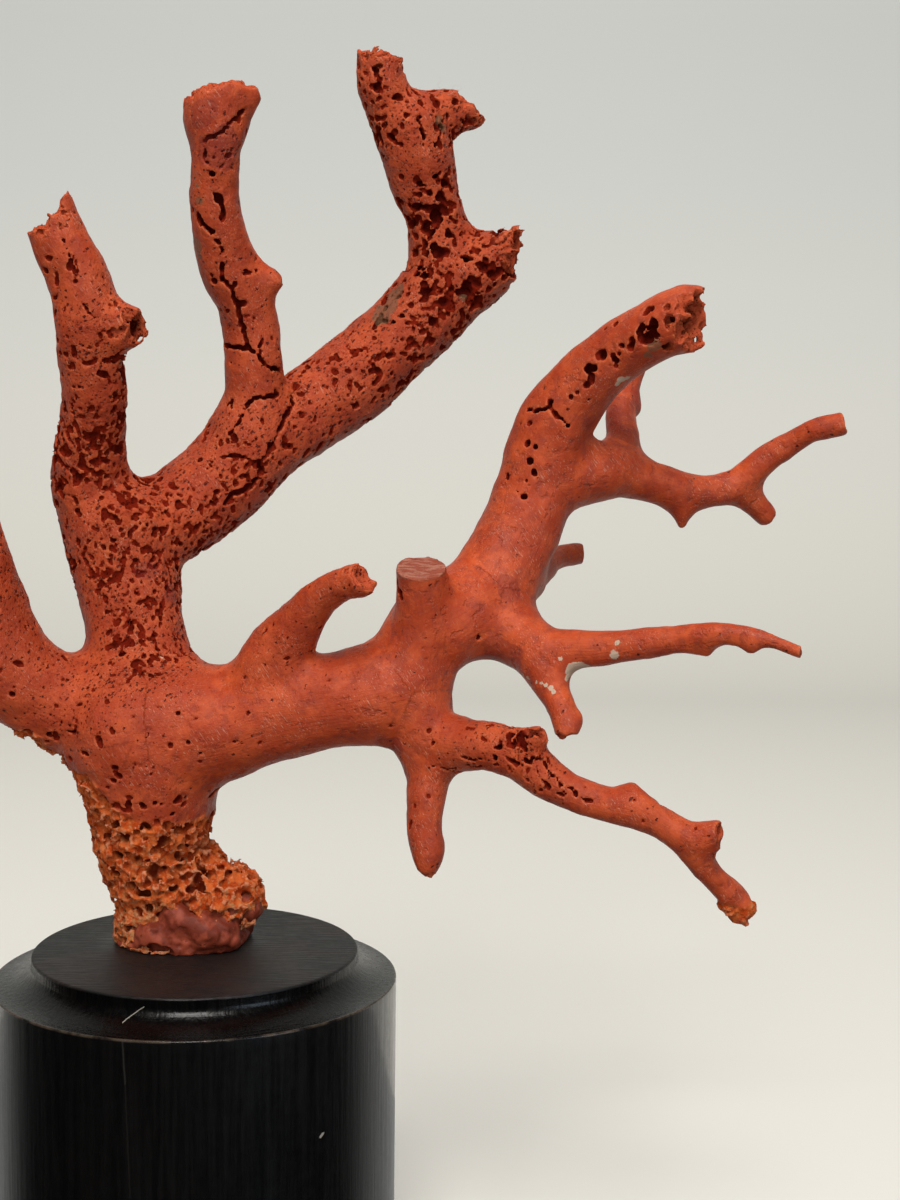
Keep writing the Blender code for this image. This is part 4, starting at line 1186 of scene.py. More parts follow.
@dataclass
class Coral:
    """The coral: its field, the marks of its life and breakage, and the pieces between its forks."""

    sight: Sight = field(default_factory=Sight)
    ground: float = 0.12
    foam_spacing: float = 2.15
    foam_radius: tuple[float, float] = (0.60, 1.3)
    wax_cover: float = 0.7
    crumb_size: int = 350
    near: float = 320.0
    far: float = 500.0

    def build(self) -> list[bpy.types.Object]:
        """Builds every piece of the coral.

        Returns:
            The piece objects, each riding on the frame and standing for its own solid.
        """
        self.noise = Noise(SEED)
        self.skeleton = Skeleton(STATIONS)
        self.block = Block(self.skeleton, self.noise)
        LOG.info("coral field: %s samples", self.block.lattice.shape)
        bores = self._bores()
        self.block.roughen(self._grain_height)
        self.block.cut(bores, 0.70)
        self.block.cut(self._foam(), 1.10)
        self.block.cut(self._front_holes(), 0.90)
        self.block.cut(self._cracks(), 0.75)
        self._break_ends()
        self._make_room(WaxBead())
        z = self.block.lattice.axes()[2]
        np.maximum(self.block.values, (self.ground - z)[None, None, :], out=self.block.values)
        surface = without_crumbs(level_surface(self.block.values, self.block.lattice), self.crumb_size)
        LOG.info("coral surface: %d faces", len(surface.quads))
        return self._pieces(surface)

    def _bores(self) -> Slots:
        """Scatters holes over the bored branches, thick in some places and thin in others."""
        rng = np.random.default_rng(SEED + 1)
        outer = 0.25
        points = self.block.shell(outer, -outer)
        area = self.block.lattice.step**3 / (2 * outer)
        found = self.skeleton.nearest(points)
        owner = self.skeleton.owner[found.bone]
        none = Boring(0.0)
        table = np.array(
            [
                (b.share, b.least, b.most)
                for b in (BORINGS.get(name, none) for name in self.skeleton.names)
            ]
        )
        share, least, most = table[owner].T
        x, _, z = points.T
        clump = self.noise.at(self.noise.soft, points, 2.4)
        chance = share * area * np.clip(1.0 + 0.7 * clump, 0.2, 2.2)
        index = {name: number for number, name in enumerate(self.skeleton.names)}
        on_trunk = owner == index["trunk"]
        front_left = smoothstep(x + 1.5 * clump, -20.5, -17.0)
        chance *= np.where(on_trunk, smoothstep(z + 2 * clump, 58, 68), 1)
        chance *= np.where(on_trunk & (z < 78), front_left, 1)
        chance *= np.where(owner == index["horn"], 1 - 0.93 * smoothstep(z, 131, 137), 1)
        crumbly = (owner == index["lower"]) & (x > 61) & (x < 78)
        chance *= np.where(crumbly, 5.0, 1)
        chance *= 1 - sponge_share(x, z, np.zeros_like(z))
        pick = rng.random(len(points)) < chance
        place = points[pick].astype(float)
        size = least[pick] + (most - least)[pick] * rng.random(pick.sum()) ** 2.2
        inward = self.block.inward(place)
        self.bored = self._crowding(place)
        LOG.info("bores: %d", len(place))
        long = rng.normal(size=(len(place), 3)) + (0.0, 0.0, 0.6)
        long -= inward * (long * inward).sum(1, keepdims=True)
        long = unit(long) * (size * rng.uniform(0, 1, len(place)) ** 2 * 3.0)[:, None]
        sets = [Slots(place, long, inward, size * 0.75, size * 0.9)]
        for reach in (1.25, 1.9):
            again = rng.random(len(place)) < (0.32 if reach < 1.5 else 0.15)
            drift = rng.normal(size=(len(place), 3))
            drift -= inward * (drift * inward).sum(1, keepdims=True)
            beside = place + unit(drift) * (reach * size)[:, None]
            lesser = size * rng.uniform(0.6, 0.95, len(place))
            sets.append(self._canals(beside[again], inward[again], lesser[again], lesser[again] * 0.4))
        return Slots.joined(sets)

    def _grain_height(self, points: Array) -> Array:
        """How rough the surface is: most in the sponge and some where it is bored, in millimetres."""
        bored = self.bored[0].sample(self.bored[1], points)[0]
        soft = self.noise.at(self.noise.soft, points, 1.1)
        return 0.04 + 0.09 * bored + 0.56 * sponge_share(points[:, 0], points[:, 2], 2.2 * soft)

    @staticmethod
    def _crowding(places: Array) -> tuple[Lattice, Array]:
        """How thick the bores lie: their number in each cell of a wide lattice, averaged three times.

        Args:
            places: the bores' mouths.

        Returns:
            The lattice, and the share at each of its samples: 1 where they lie thick.
        """
        lattice = Lattice((-100.0, -60.0, -12.0), (68, 36, 60), 4.0)
        cells = np.round((places - np.asarray(lattice.origin)) / lattice.step).astype(int)
        count = np.zeros(lattice.shape)
        np.add.at(count, tuple(cells.T), 1.0)
        for _ in range(3):
            for axis in range(3):
                count = 0.5 * count + 0.25 * (np.roll(count, 1, axis) + np.roll(count, -1, axis))
        return lattice, np.clip(count / 0.45, 0, 1)

    @staticmethod
    def _canals(place: Array, inward: Array, radius: Array, depth: Array) -> Slots:
        """Round holes swept inward from points."""
        return Slots(place, np.zeros_like(place), inward, np.asarray(depth), np.asarray(radius))

    def _foam(self) -> Slots:
        """Close-set hollows through the outer part of the foot: a shaken grid of balls."""
        rng = np.random.default_rng(SEED + 2)
        step = self.foam_spacing
        grid = np.stack(
            np.meshgrid(np.arange(-48, 17, step), np.arange(-16, 24, step), np.arange(-1, 52, step), indexing="ij"),
            -1,
        ).reshape(-1, 3)
        grid = grid + rng.uniform(-0.42, 0.42, grid.shape) * step
        depth, _ = self.block.lattice.sample(self.block.skin, grid)
        reach = sponge_share(grid[:, 0], grid[:, 2], np.zeros(len(grid)))
        keep = (depth < 1.0) & (depth > -1.6) & (reach > 0.5)
        place = grid[keep]
        inward = self.block.inward(place)
        low, high = self.foam_radius
        radius = rng.uniform(low, high, len(place)) * np.where(rng.random(len(place)) < 0.15, 1.25, 1.0)
        LOG.info("foam hollows: %d", len(place))
        return self._canals(place, inward, radius, rng.uniform(0, 0.6, len(place)))

    def _seen(self, places: Array) -> tuple[Array, Array]:
        """Where places in the view lie on the skin, and which of them do."""
        return self.block.on_skin(
            np.asarray(self.sight.eye), self.sight.ways(places), self.near, self.far
        )

    def _front_holes(self) -> Slots:
        """The single holes seen from the front."""
        rows = np.array(FRONT_HOLES)
        place, met = self._seen(rows[:, :2])
        radius = rows[met, 2]
        LOG.info("front holes: %d of %d", len(place), len(rows))
        inward = self.block.inward(place)
        big = radius > 0.9
        rng = np.random.default_rng(SEED + 6)
        sets = [self._canals(place, inward, radius * 0.82, 0.35 + radius * 0.6)]
        for _ in range(2):
            drift = rng.normal(size=(len(place), 3))
            drift -= inward * (drift * inward).sum(1, keepdims=True)
            beside = place + unit(drift) * (radius * 0.95)[:, None]
            lesser = radius * rng.uniform(0.35, 0.6, len(place))
            sets.append(self._canals(beside[big], inward[big], lesser[big], lesser[big]))
        return Slots.joined(sets)

    def _cracks(self) -> Slots:
        """The cracks and gouges seen from the front, as chains of short slits that waver a little."""
        rng = np.random.default_rng(SEED + 3)
        sets = []
        for crack in CRACKS:
            path = np.array(crack.path, float)
            gap = np.linalg.norm(np.diff(path, axis=0), axis=1)
            along = np.concatenate([[0], np.cumsum(gap)])
            at = np.arange(0, along[-1] + 0.1, 2.2)
            line = np.stack([np.interp(at, along, path[:, axis]) for axis in (0, 1)], axis=1)
            line += rng.normal(0, 0.7, line.shape)
            place, _ = self._seen(line)
            if len(place) < 2:
                continue
            span = np.diff(place, axis=0)
            near = np.linalg.norm(span, axis=1) < 2.5
            start = place[:-1][near]
            radius = 0.5 * crack.width * rng.uniform(0.45, 1.1, len(start))
            sets.append(
                Slots(start, span[near], self.block.inward(start), np.full(len(start), crack.depth), radius)
            )
        return Slots.joined(sets)

    def _end(self, name: str) -> tuple[Array, Array, float]:
        """The place, direction and radius of a branch's broken face."""
        end = BROKEN_ENDS[name]
        before, last = (np.array(station) for station in STATIONS[name][-2:])
        along = unit(last[:3] - before[:3])
        facing = along if end.facing is None else unit(np.array(end.facing))
        return last[:3] - along * end.back, facing, float(last[3])

    def _break_ends(self) -> None:
        """Breaks or saws off every end, and hollows those that are hollow."""
        for name, end in BROKEN_ENDS.items():
            place, facing, radius = self._end(name)
            self.block.break_end(place, facing, radius + 3 + 1.3 * max(0.0, end.back), end.ragged)
            width, depth = end.hollow
            if depth > 0:
                hole = self._canals(place[None], -facing[None], np.array([width]), np.array([depth]))
                self.block.cut(hole, 0.5 * width**0.5)

    def _make_room(self, wax: "WaxBead") -> None:
        """Takes the coral out of the wax, all but a thin layer under its surface."""
        lattice = self.block.lattice
        (i, j, k), (i2, j2, k2) = lattice.window(np.array((-26, -14, -3)), np.array((20, 24, 17)))
        x, y, z = lattice.axes()
        inside = wax.field([x[i:i2], y[j:j2], z[k:k2]], np.float32(0.0))
        window = self.block.values[i:i2, j:j2, k:k2]
        np.maximum(window, -(inside + self.wax_cover), out=window)

    def _piece_numbers(self, points: Array, found: Nearest) -> tuple[Array, list[str], list[Slot]]:
        """Which piece each vertex belongs to: its branch's near or far one, by the side of the cut.

        Returns:
            A number for each vertex, the names of the pieces and their slots.
        """
        names = [FOOT_PIECE] + [fork.name for fork in FORKS.values()]
        slots = [Slot.SPONGE] + [fork.slot for fork in FORKS.values()]

        def far(branch: str) -> str:
            return FORKS[branch].name if branch in FORKS else near(branch)

        def near(branch: str) -> str:
            return far(PARENTS[branch]) if branch in PARENTS else FOOT_PIECE

        owner = self.skeleton.owner[found.bone]
        numbers = np.zeros(len(points), int)
        for branch_number, branch in enumerate(self.skeleton.names):
            mine = owner == branch_number
            numbers[mine] = names.index(near(branch))
            if branch in FORKS:
                fork = FORKS[branch]
                beyond = (points - np.array(fork.centre)) @ np.array(fork.across) > 0
                numbers[mine & beyond] = names.index(fork.name)
        return numbers, names, slots

    def _vertex_values(self, surface: Surface, found: Nearest) -> dict[str, Array]:
        """What the finish needs to know at each vertex.

        Returns:
            depth below the old skin, grain coordinates and how far they hold, sponge, broken and
            ridge shares, and the shares of lime, grime and mauve stain.
        """
        points = surface.points
        depth = -self.block.lattice.sample(self.block.skin, points)[0]
        soft = self.noise.at(self.noise.soft, points, 1.1)
        broken = np.zeros(len(points))
        for name, end in BROKEN_ENDS.items():
            place, facing, radius = self._end(name)
            way = points - place
            behind = -(way @ facing)
            near = np.linalg.norm(way, axis=1) < radius + max(3.0, end.hollow[1] + 1)
            share = (1 - smoothstep(behind, 0.8 + end.hollow[1] * 0.5, 2.2 + end.hollow[1])) * near
            share *= not end.sawn
            broken = np.maximum(broken, share * smoothstep(depth, 0.1, 0.45))
        values = {
            "depth": depth,
            "grain": self.skeleton.grain(points, found),
            "grain_holds": smoothstep(found.apart, 0.3, 3.5),
            "sponge": sponge_share(points[:, 0], points[:, 2], 2.2 * soft),
            "broken": broken,
            "ridge": np.clip(bulge(surface, self.block.lattice.step) * 2.0, -1, 1),
            "bored": self.bored[0].sample(self.bored[1], points)[0],
            "sawn": self._sawn(points),
        }
        places = np.array([stain.place for stain in STAINS], float)
        reach = np.array([stain.reach for stain in STAINS])
        kinds = np.array([stain.kind for stain in STAINS])
        spots, met = self._seen(places)
        reach, kinds = reach[met], kinds[met]
        for kind in ("lime", "grime", "mauve"):
            share = np.zeros(len(points))
            for spot, size in zip(spots[kinds == kind], reach[kinds == kind]):
                gap = np.linalg.norm(points - spot, axis=1) + 0.45 * soft * size
                share = np.maximum(share, 1 - smoothstep(gap, 0.55 * size, 1.15 * size))
            values[kind] = share
        return values

    def _sawn(self, points: Array) -> Array:
        """1 on the sawn faces and 0 elsewhere."""
        share = np.zeros(len(points))
        for name in (name for name, end in BROKEN_ENDS.items() if end.sawn):
            place, facing, radius = self._end(name)
            way = points - place
            near = np.linalg.norm(way, axis=1) < radius + 1.5
            share = np.maximum(share, smoothstep(way @ facing, -0.75, -0.3) * near)
        return share

    def _pieces(self, surface: Surface) -> list[bpy.types.Object]:
        """Parts the surface at the forks, and closes each piece with a fan at each of its cuts."""
        found = self.skeleton.nearest(surface.points)
        numbers, names, slots = self._piece_numbers(surface.points, found)
        values = self._vertex_values(surface, found)
        face_piece = numbers[surface.quads[:, 0]]
        edges = edges_of(surface.quads)
        keys = np.sort(edges, axis=1) @ np.array([len(surface.points), 1])
        order = np.argsort(keys, kind="stable")
        same = np.flatnonzero(keys[order][1:] == keys[order][:-1])
        first, second = order[same], order[same + 1]
        parted = face_piece[first // 4] != face_piece[second // 4]
        first, second = first[parted], second[parted]
        rim = np.concatenate([edges[first], edges[second]])
        rim_piece = np.concatenate([face_piece[first // 4], face_piece[second // 4]])
        rim_other = np.concatenate([face_piece[second // 4], face_piece[first // 4]])
        made = []
        for number, (name, slot) in enumerate(zip(names, slots)):
            quads = surface.quads[face_piece == number]
            fans, hubs = [], []
            mine = rim_piece == number
            for other in np.unique(rim_other[mine]):
                cut = rim[mine & (rim_other == other)]
                hub = len(surface.points) + len(hubs)
                hubs.append(surface.points[np.unique(cut)].mean(0))
                fans.append(np.stack([cut[:, 1], cut[:, 0], np.full(len(cut), hub)], axis=1))
            fan = np.vstack(fans) if fans else np.zeros((0, 3), int)
            used, corners = np.unique(
                np.concatenate([quads.reshape(-1), fan.reshape(-1)]), return_inverse=True
            )
            own = used < len(surface.points)
            points = np.vstack([surface.points[used[own]], *[hub[None] for hub in hubs]])
            sizes = np.concatenate([np.full(len(quads), 4), np.full(len(fan), 3)])
            obj = mesh_object(name + "_coral", raised(points), corners, sizes)
            inner = np.zeros((len(hubs), 3)) + (0.0, 0.0, 1.0)
            normals = np.vstack([surface.normals[used[own]], inner])
            obj.data.normals_split_custom_set_from_vertices(normals.tolist())
            for key, column in values.items():
                filler = np.zeros((len(hubs), *column.shape[1:]))
                add_values(obj, key, np.concatenate([column[used[own]], filler]))
            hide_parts(name)
            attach(obj, "root")
            obj["piece_slot"] = slot.value
            report(obj)
            made.append(obj)
        return made


# ---- the plinth, the wax and the lint ---------------------------------------------------------


@dataclass
class Plinth:
    """The turned plinth: a drum with a hollow cove under its raised round top. Millimetres."""

    height: float = PLINTH_HEIGHT
    rim_radius: float = 45.0
    disc_radius: float = 36.3
    lip: float = 1.6
    cove_drop: float = 4.4
    disc_ease: float = 0.6
    rim_ease: float = 0.35
    foot_ease: float = 0.8
    around: int = 288

    def profile(self) -> Array:
        """Radius and height from the middle of the top, down the side, to the middle of the foot.

        The cove is a quarter of an ellipse that leaves the lip upright and meets the rim level, and
        the edges are quarter rounds.

        Returns:
            One row of radius and height for each point.
        """
        turn = np.linspace(0, math.pi / 2, 7)
        quarter = np.linspace(0, math.pi / 2, 20)
        top = self.height
        disc = np.stack(
            [
                self.disc_radius - self.disc_ease * (1 - np.sin(turn)),
                top - self.disc_ease * (1 - np.cos(turn)),
            ],
            axis=1,
        )
        cove = np.stack(
            [
                self.disc_radius + (self.rim_radius - self.rim_ease - self.disc_radius) * (1 - np.cos(quarter)),
                top - self.lip - self.cove_drop * np.sin(quarter),
            ],
            axis=1,
        )
        rim_top = top - self.lip - self.cove_drop
        rim = np.stack(
            [
                self.rim_radius - self.rim_ease * (1 - np.sin(turn)),
                rim_top - self.rim_ease * (1 - np.cos(turn)),
            ],
            axis=1,
        )
        foot = np.stack(
            [
                self.rim_radius - self.foot_ease * (1 - np.cos(turn)),
                self.foot_ease * (1 - np.sin(turn)),
            ],
            axis=1,
        )
        rings = np.linspace(2, self.disc_radius - self.disc_ease - 1, 18)
        top_rows = np.stack([rings, np.full(len(rings), top)], axis=1)
        drum = np.linspace(rim_top - self.rim_ease - 2, self.foot_ease + 2, 24)
        drum_rows = np.stack([np.full(len(drum), self.rim_radius), drum], axis=1)
        return np.vstack([top_rows, disc, cove[1:], rim[1:], drum_rows, foot])

    def build(self) -> bpy.types.Object:
        """Turns the profile: the point at angle a is (r cos a, r sin a, z), with a pole at each end.

        Returns:
            The plinth, which stands for its solid.
        """
        rows = self.profile()
        angle = np.arange(self.around) * 2 * math.pi / self.around
        radius, height = rows[:, :1], rows[:, 1:]
        grid = np.stack(
            [radius * np.cos(angle), radius * np.sin(angle), height + 0 * angle], axis=-1
        ).reshape(-1, 3)
        points = np.vstack([grid, [[0, 0, self.height], [0, 0, 0]]]) * MM
        ring = np.arange(self.around)
        after = (ring + 1) % self.around
        down = (np.arange(len(rows) - 1) * self.around)[:, None]
        quads = np.stack(
            [down + ring, down + self.around + ring, down + self.around + after, down + after], axis=-1
        ).reshape(-1, 4)
        last = (len(rows) - 1) * self.around
        cap = np.stack([np.full(self.around, len(grid)), ring, after], axis=1)
        foot = np.stack([np.full(self.around, len(grid) + 1), last + after, last + ring], axis=1)
        corners = np.concatenate([quads.reshape(-1), cap.reshape(-1), foot.reshape(-1)])
        sizes = np.concatenate([np.full(len(quads), 4), np.full(len(cap) + len(foot), 3)])
        obj = mesh_object("turned_plinth", points, corners, sizes)
        obj.data.set_sharp_from_angle(angle=math.radians(50))
        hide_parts("plinth")
        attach(obj, "root")
        report(obj)
        return obj


@dataclass
class WaxBead:
    """The red wax that the coral's foot sits in: a squashed, folded lump, flat on the plinth."""

    centre: Point = (-4.2, 6.5, 1.5)
    radii: Point = (14.4, 12.6, 8.2)
    ground: float = 0.05
    lattice: Lattice = Lattice((-28.0, -16.0, -2.0), (49, 42, 21), 1.05)
    # Lobes that bulge out under the sponge: x, y, height and radius.
    lobes: tuple[Station, ...] = (
        (-11.6, -1.6, 1.6, 3.4), (-8.0, -2.2, 4.0, 4.8), (-3.6, -2.2, 6.4, 5.4), (2.0, -1.8, 4.6, 5.8),
        (5.4, -0.8, 5.2, 5.4), (10.2, 1.6, 9.4, 4.4), (5.4, -0.6, 2.6, 3.8), (-12.6, 12.0, 1.5, 4.6),
        (-2.0, 16.0, 2.2, 4.4), (7.0, 12.0, 4.0, 5.0),
    )
    # Hollows under its front edge: x, y, height and radius.
    hollows: tuple[Station, ...] = (
        (-8.4, -6.6, 0.6, 2.5), (-10.4, -5.4, 0.4, 2.0), (-6.0, -7.2, 0.4, 1.9), (5.2, -7.0, 0.2, 1.9),
        (7.2, -5.6, 0.8, 1.6), (-0.6, -8.6, 0.0, 1.2),
    )

    def field(self, axes: list[Array], soft: Array) -> Array:
        """The lump's field on a lattice, negative inside.

        The field is the distance to a squashed ball, blended with the lobes, with slanting folds and
        low lumps added.

        Args:
            axes: the lattice's three coordinates.
            soft: random values on the lattice, humps of about three millimetres.

        Returns:
            The field, in millimetres.
        """
        x, y, z = axes[0][:, None, None], axes[1][None, :, None], axes[2][None, None, :]
        centre, radii = self.centre, self.radii
        scaled = np.sqrt(
            ((x - centre[0]) / radii[0]) ** 2
            + ((y - centre[1]) / radii[1]) ** 2
            + ((z - centre[2]) / radii[2]) ** 2
        )
        values = (scaled - 1) * 9.6
        for lobe in self.lobes:
            ball = np.sqrt((x - lobe[0]) ** 2 + (y - lobe[1]) ** 2 + (z - lobe[2]) ** 2) - lobe[3]
            blend = np.clip(1 - np.abs(values - ball) / 1.6, 0, 1)
            values = np.minimum(values, ball) - 1.6 * blend**2 / 4
        folds = np.sin(0.62 * z + 0.42 * x + 0.8 * soft) * 0.50
        return values + folds + 0.07 * soft

    def build(self) -> bpy.types.Object:
        """Draws the lump as the zero level of its field, less its hollows and the plinth's top.

        Returns:
            The wax, which stands for its solid.
        """
        noise = Noise(SEED + 9)
        fine = self.lattice.finer()
        x, y, z = fine.axes()
        soft = noise.block(noise.soft, np.zeros(3, int), np.asarray(fine.shape))
        values = self.field([x, y, z], soft)
        x, y, z = x[:, None, None], y[None, :, None], z[None, None, :]
        for hole in self.hollows:
            ball = np.sqrt((x - hole[0]) ** 2 + (y - hole[1]) ** 2 + (z - hole[2]) ** 2) - hole[3]
            values = np.maximum(values, -ball - 0.15 * soft)
        values = np.maximum(values, self.ground - z).astype(np.float32)
        surface = without_crumbs(level_surface(values, fine), 60)
        sizes = np.full(len(surface.quads), 4)
        obj = mesh_object("wax_bead", raised(surface.points), surface.quads.reshape(-1), sizes)
        obj.data.normals_split_custom_set_from_vertices(surface.normals.tolist())
        add_values(obj, "ridge", np.clip(bulge(surface, fine.step) * 2, -1, 1))
        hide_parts("foot_filler")
        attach(obj, "root")
        report(obj)
        return obj


@dataclass
class Lint:
    """A wisp of dust fibres caught on the crown. Millimetres."""

    places: tuple[Point, ...] = ((49.0, 33.0, 189.0), (51.5, 33.0, 190.5), (53.5, 34.0, 192.5))
    fibres: int = 15
    radius: float = 0.035
    length: float = 6.5

    def build(self) -> bpy.types.Object:
        """Thin tubes along wavering lines.

        At share t a fibre lies at its root plus t times its reach, plus two sine waves across
        it; each ring of four points stands round the line in two fixed directions across.

        Returns:
            All fibres as one mesh.
        """
        rng = np.random.default_rng(SEED + 5)
        t = np.linspace(0, 1, 18)[None, :, None]
        pick = rng.integers(0, len(self.places), self.fibres)
        root = np.array(self.places)[pick] + rng.normal(0, 0.6, (self.fibres, 3))
        reach = rng.normal((0.1, 0.0, 1.0), (0.55, 0.3, 0.3), (self.fibres, 3))
        reach = unit(reach) * self.length * rng.uniform(0.5, 1.1, (self.fibres, 1))
        wave = rng.normal(0, 0.7, (self.fibres, 1, 3))
        curl = rng.normal(0, 0.35, (self.fibres, 1, 3))
        turns = rng.uniform(2, 6, (self.fibres, 1, 1))
        line = root[:, None] + reach[:, None] * t + wave * np.sin(turns * t) + curl * np.sin(13 * t + turns)
        along = unit(np.gradient(line, axis=1))
        side = unit(np.cross(along, np.array((0.0, 1.0, 0.2))))
        front = np.cross(along, side)
        turn = np.arange(4) * math.pi / 2
        ring = side[:, :, None] * np.cos(turn)[:, None] + front[:, :, None] * np.sin(turn)[:, None]
        taper = (1.15 - t)[..., None]
        points = (line[:, :, None] + ring * self.radius * taper).reshape(-1, 3)
        count = t.shape[1]
        base = (np.arange(self.fibres) * count * 4)[:, None, None]
        step = (np.arange(count - 1) * 4)[None, :, None]
        corner = np.arange(4)[None, None]
        after = (corner + 1) % 4
        quads = base[..., None] + np.stack(
            [step + corner, step + after, step + 4 + after, step + 4 + corner], axis=-1
        )
        ends = base[:, 0] + np.concatenate([np.arange(4)[::-1], (count - 1) * 4 + np.arange(4)])
        corners = np.concatenate([quads.reshape(-1), ends.reshape(-1)])
        sizes = np.full(len(corners) // 4, 4)
        obj = mesh_object("lint_fibres", raised(points), corners, sizes)
        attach(obj, "root")
        report(obj)
        return obj


# ---- finishes ---------------------------------------------------------------------------------

Socket = bpy.types.NodeSocket
Source = Socket | float | Colour | Point


class Graph:
    """Adds nodes to one node tree and joins them."""

    def __init__(self, tree: bpy.types.NodeTree) -> None:
        """Takes hold of a tree.

        Args:
            tree: a material's, a world's or a group's node tree.
        """
        self.tree = tree

    def node(self, kind: str, inputs: dict[str | int, Source] | None = None, **settings) -> bpy.types.Node:
        """Adds a node.

        Args:
            kind: the node's type, without the leading ShaderNode.
            inputs: what goes into its sockets, by name or number: a socket or a plain value.
            settings: its own properties.

        Returns:
            The node.
        """
        made = self.tree.nodes.new("ShaderNode" + kind)
        for key, value in settings.items():
            setattr(made, key, value)
        for key, value in (inputs or {}).items():
            self.feed(made.inputs[key], value)
        return made

    def feed(self, socket: Socket, source: Source) -> None:
        """Links a socket to another one, or sets its plain value."""
        if isinstance(source, bpy.types.NodeSocket):
            self.tree.links.new(source, socket)
        else:
            socket.default_value = source

    def math(self, operation: str, first: Source, second: Source = 0.0, third: Source = 0.0) -> Socket:
        """The result of one sum on up to three numbers."""
        inputs = {0: first, 1: second, 2: third}
        return self.node("Math", inputs, operation=operation).outputs[0]

    def span(self, value: Source, low: float, high: float, start: float = 0.0, end: float = 1.0) -> Socket:
        """A value eased from start to end as it goes from low to high."""
        inputs = {"Value": value, "From Min": low, "From Max": high, "To Min": start, "To Max": end}
        return self.node("MapRange", inputs, interpolation_type="SMOOTHSTEP").outputs[0]

    def mix(self, share: Source, first: Source, second: Source, blend: str = "MIX") -> Socket:
        """One colour over another.

        Args:
            share: how much of the second, from 0 to 1.
            first: the colour underneath.
            second: the colour on top.
            blend: how they are mixed.

        Returns:
            The mixed colour.
        """
        made = self.node("Mix", data_type="RGBA", blend_type=blend, clamp_factor=True)
        self.feed(made.inputs[0], share)
        self.feed(made.inputs[6], first)
        self.feed(made.inputs[7], second)
        return made.outputs[2]

    def scaled(self, vector: Socket, factors: Source) -> Socket:
        """A vector times another one, part by part."""
        return self.node("VectorMath", {0: vector, 1: factors}, operation="MULTIPLY").outputs[0]

    def noise(self, vector: Socket, size: float, detail: float = 2.0, rough: float = 0.5) -> Socket:
        """Soft random values with grains of about one size, in the vector's own units."""
        inputs = {"Vector": vector, "Scale": 1 / size, "Detail": detail, "Roughness": rough}
        return self.node("TexNoise", inputs).outputs["Fac"]

    def use(self, group: bpy.types.NodeTree, inputs: dict[str, Source]) -> bpy.types.Node:
        """Adds a group node and feeds its named inputs."""
        made = self.tree.nodes.new("ShaderNodeGroup")
        made.node_tree = group
        for key, value in inputs.items():
            self.feed(made.inputs[key], value)
        return made

    def value(self, name: str) -> Socket:
        """A number stored on the mesh."""
        return self.node("Attribute", attribute_name=name).outputs["Fac"]

    def millimetres(self) -> Socket:
        """The object's own coordinates, in millimetres."""
        place = self.node("TexCoord").outputs["Object"]
        return self.node("VectorMath", {0: place, "Scale": 1000.0}, operation="SCALE").outputs[0]


def new_group(name: str, inputs: dict[str, tuple[str, Source]], outputs: dict[str, str]):
    """A shader node group with named sockets.

    Args:
        name: the group's name.
        inputs: each input's kind (Vector, Float or Color) and default.
        outputs: each output's kind.

    Returns:
        The group, a graph over it, its input sockets by name and its output node.
    """
    group = bpy.data.node_groups.new(name, "ShaderNodeTree")
    for key, (kind, default) in inputs.items():
        socket = group.interface.new_socket(key, in_out="INPUT", socket_type="NodeSocket" + kind)
        socket.default_value = default
    for key, kind in outputs.items():
        group.interface.new_socket(key, in_out="OUTPUT", socket_type="NodeSocket" + kind)
    graph = Graph(group)
    entry = group.nodes.new("NodeGroupInput")
    leave = group.nodes.new("NodeGroupOutput")
    return group, graph, entry.outputs, leave.inputs


ORIGIN: Point = (0.0, 0.0, 0.0)


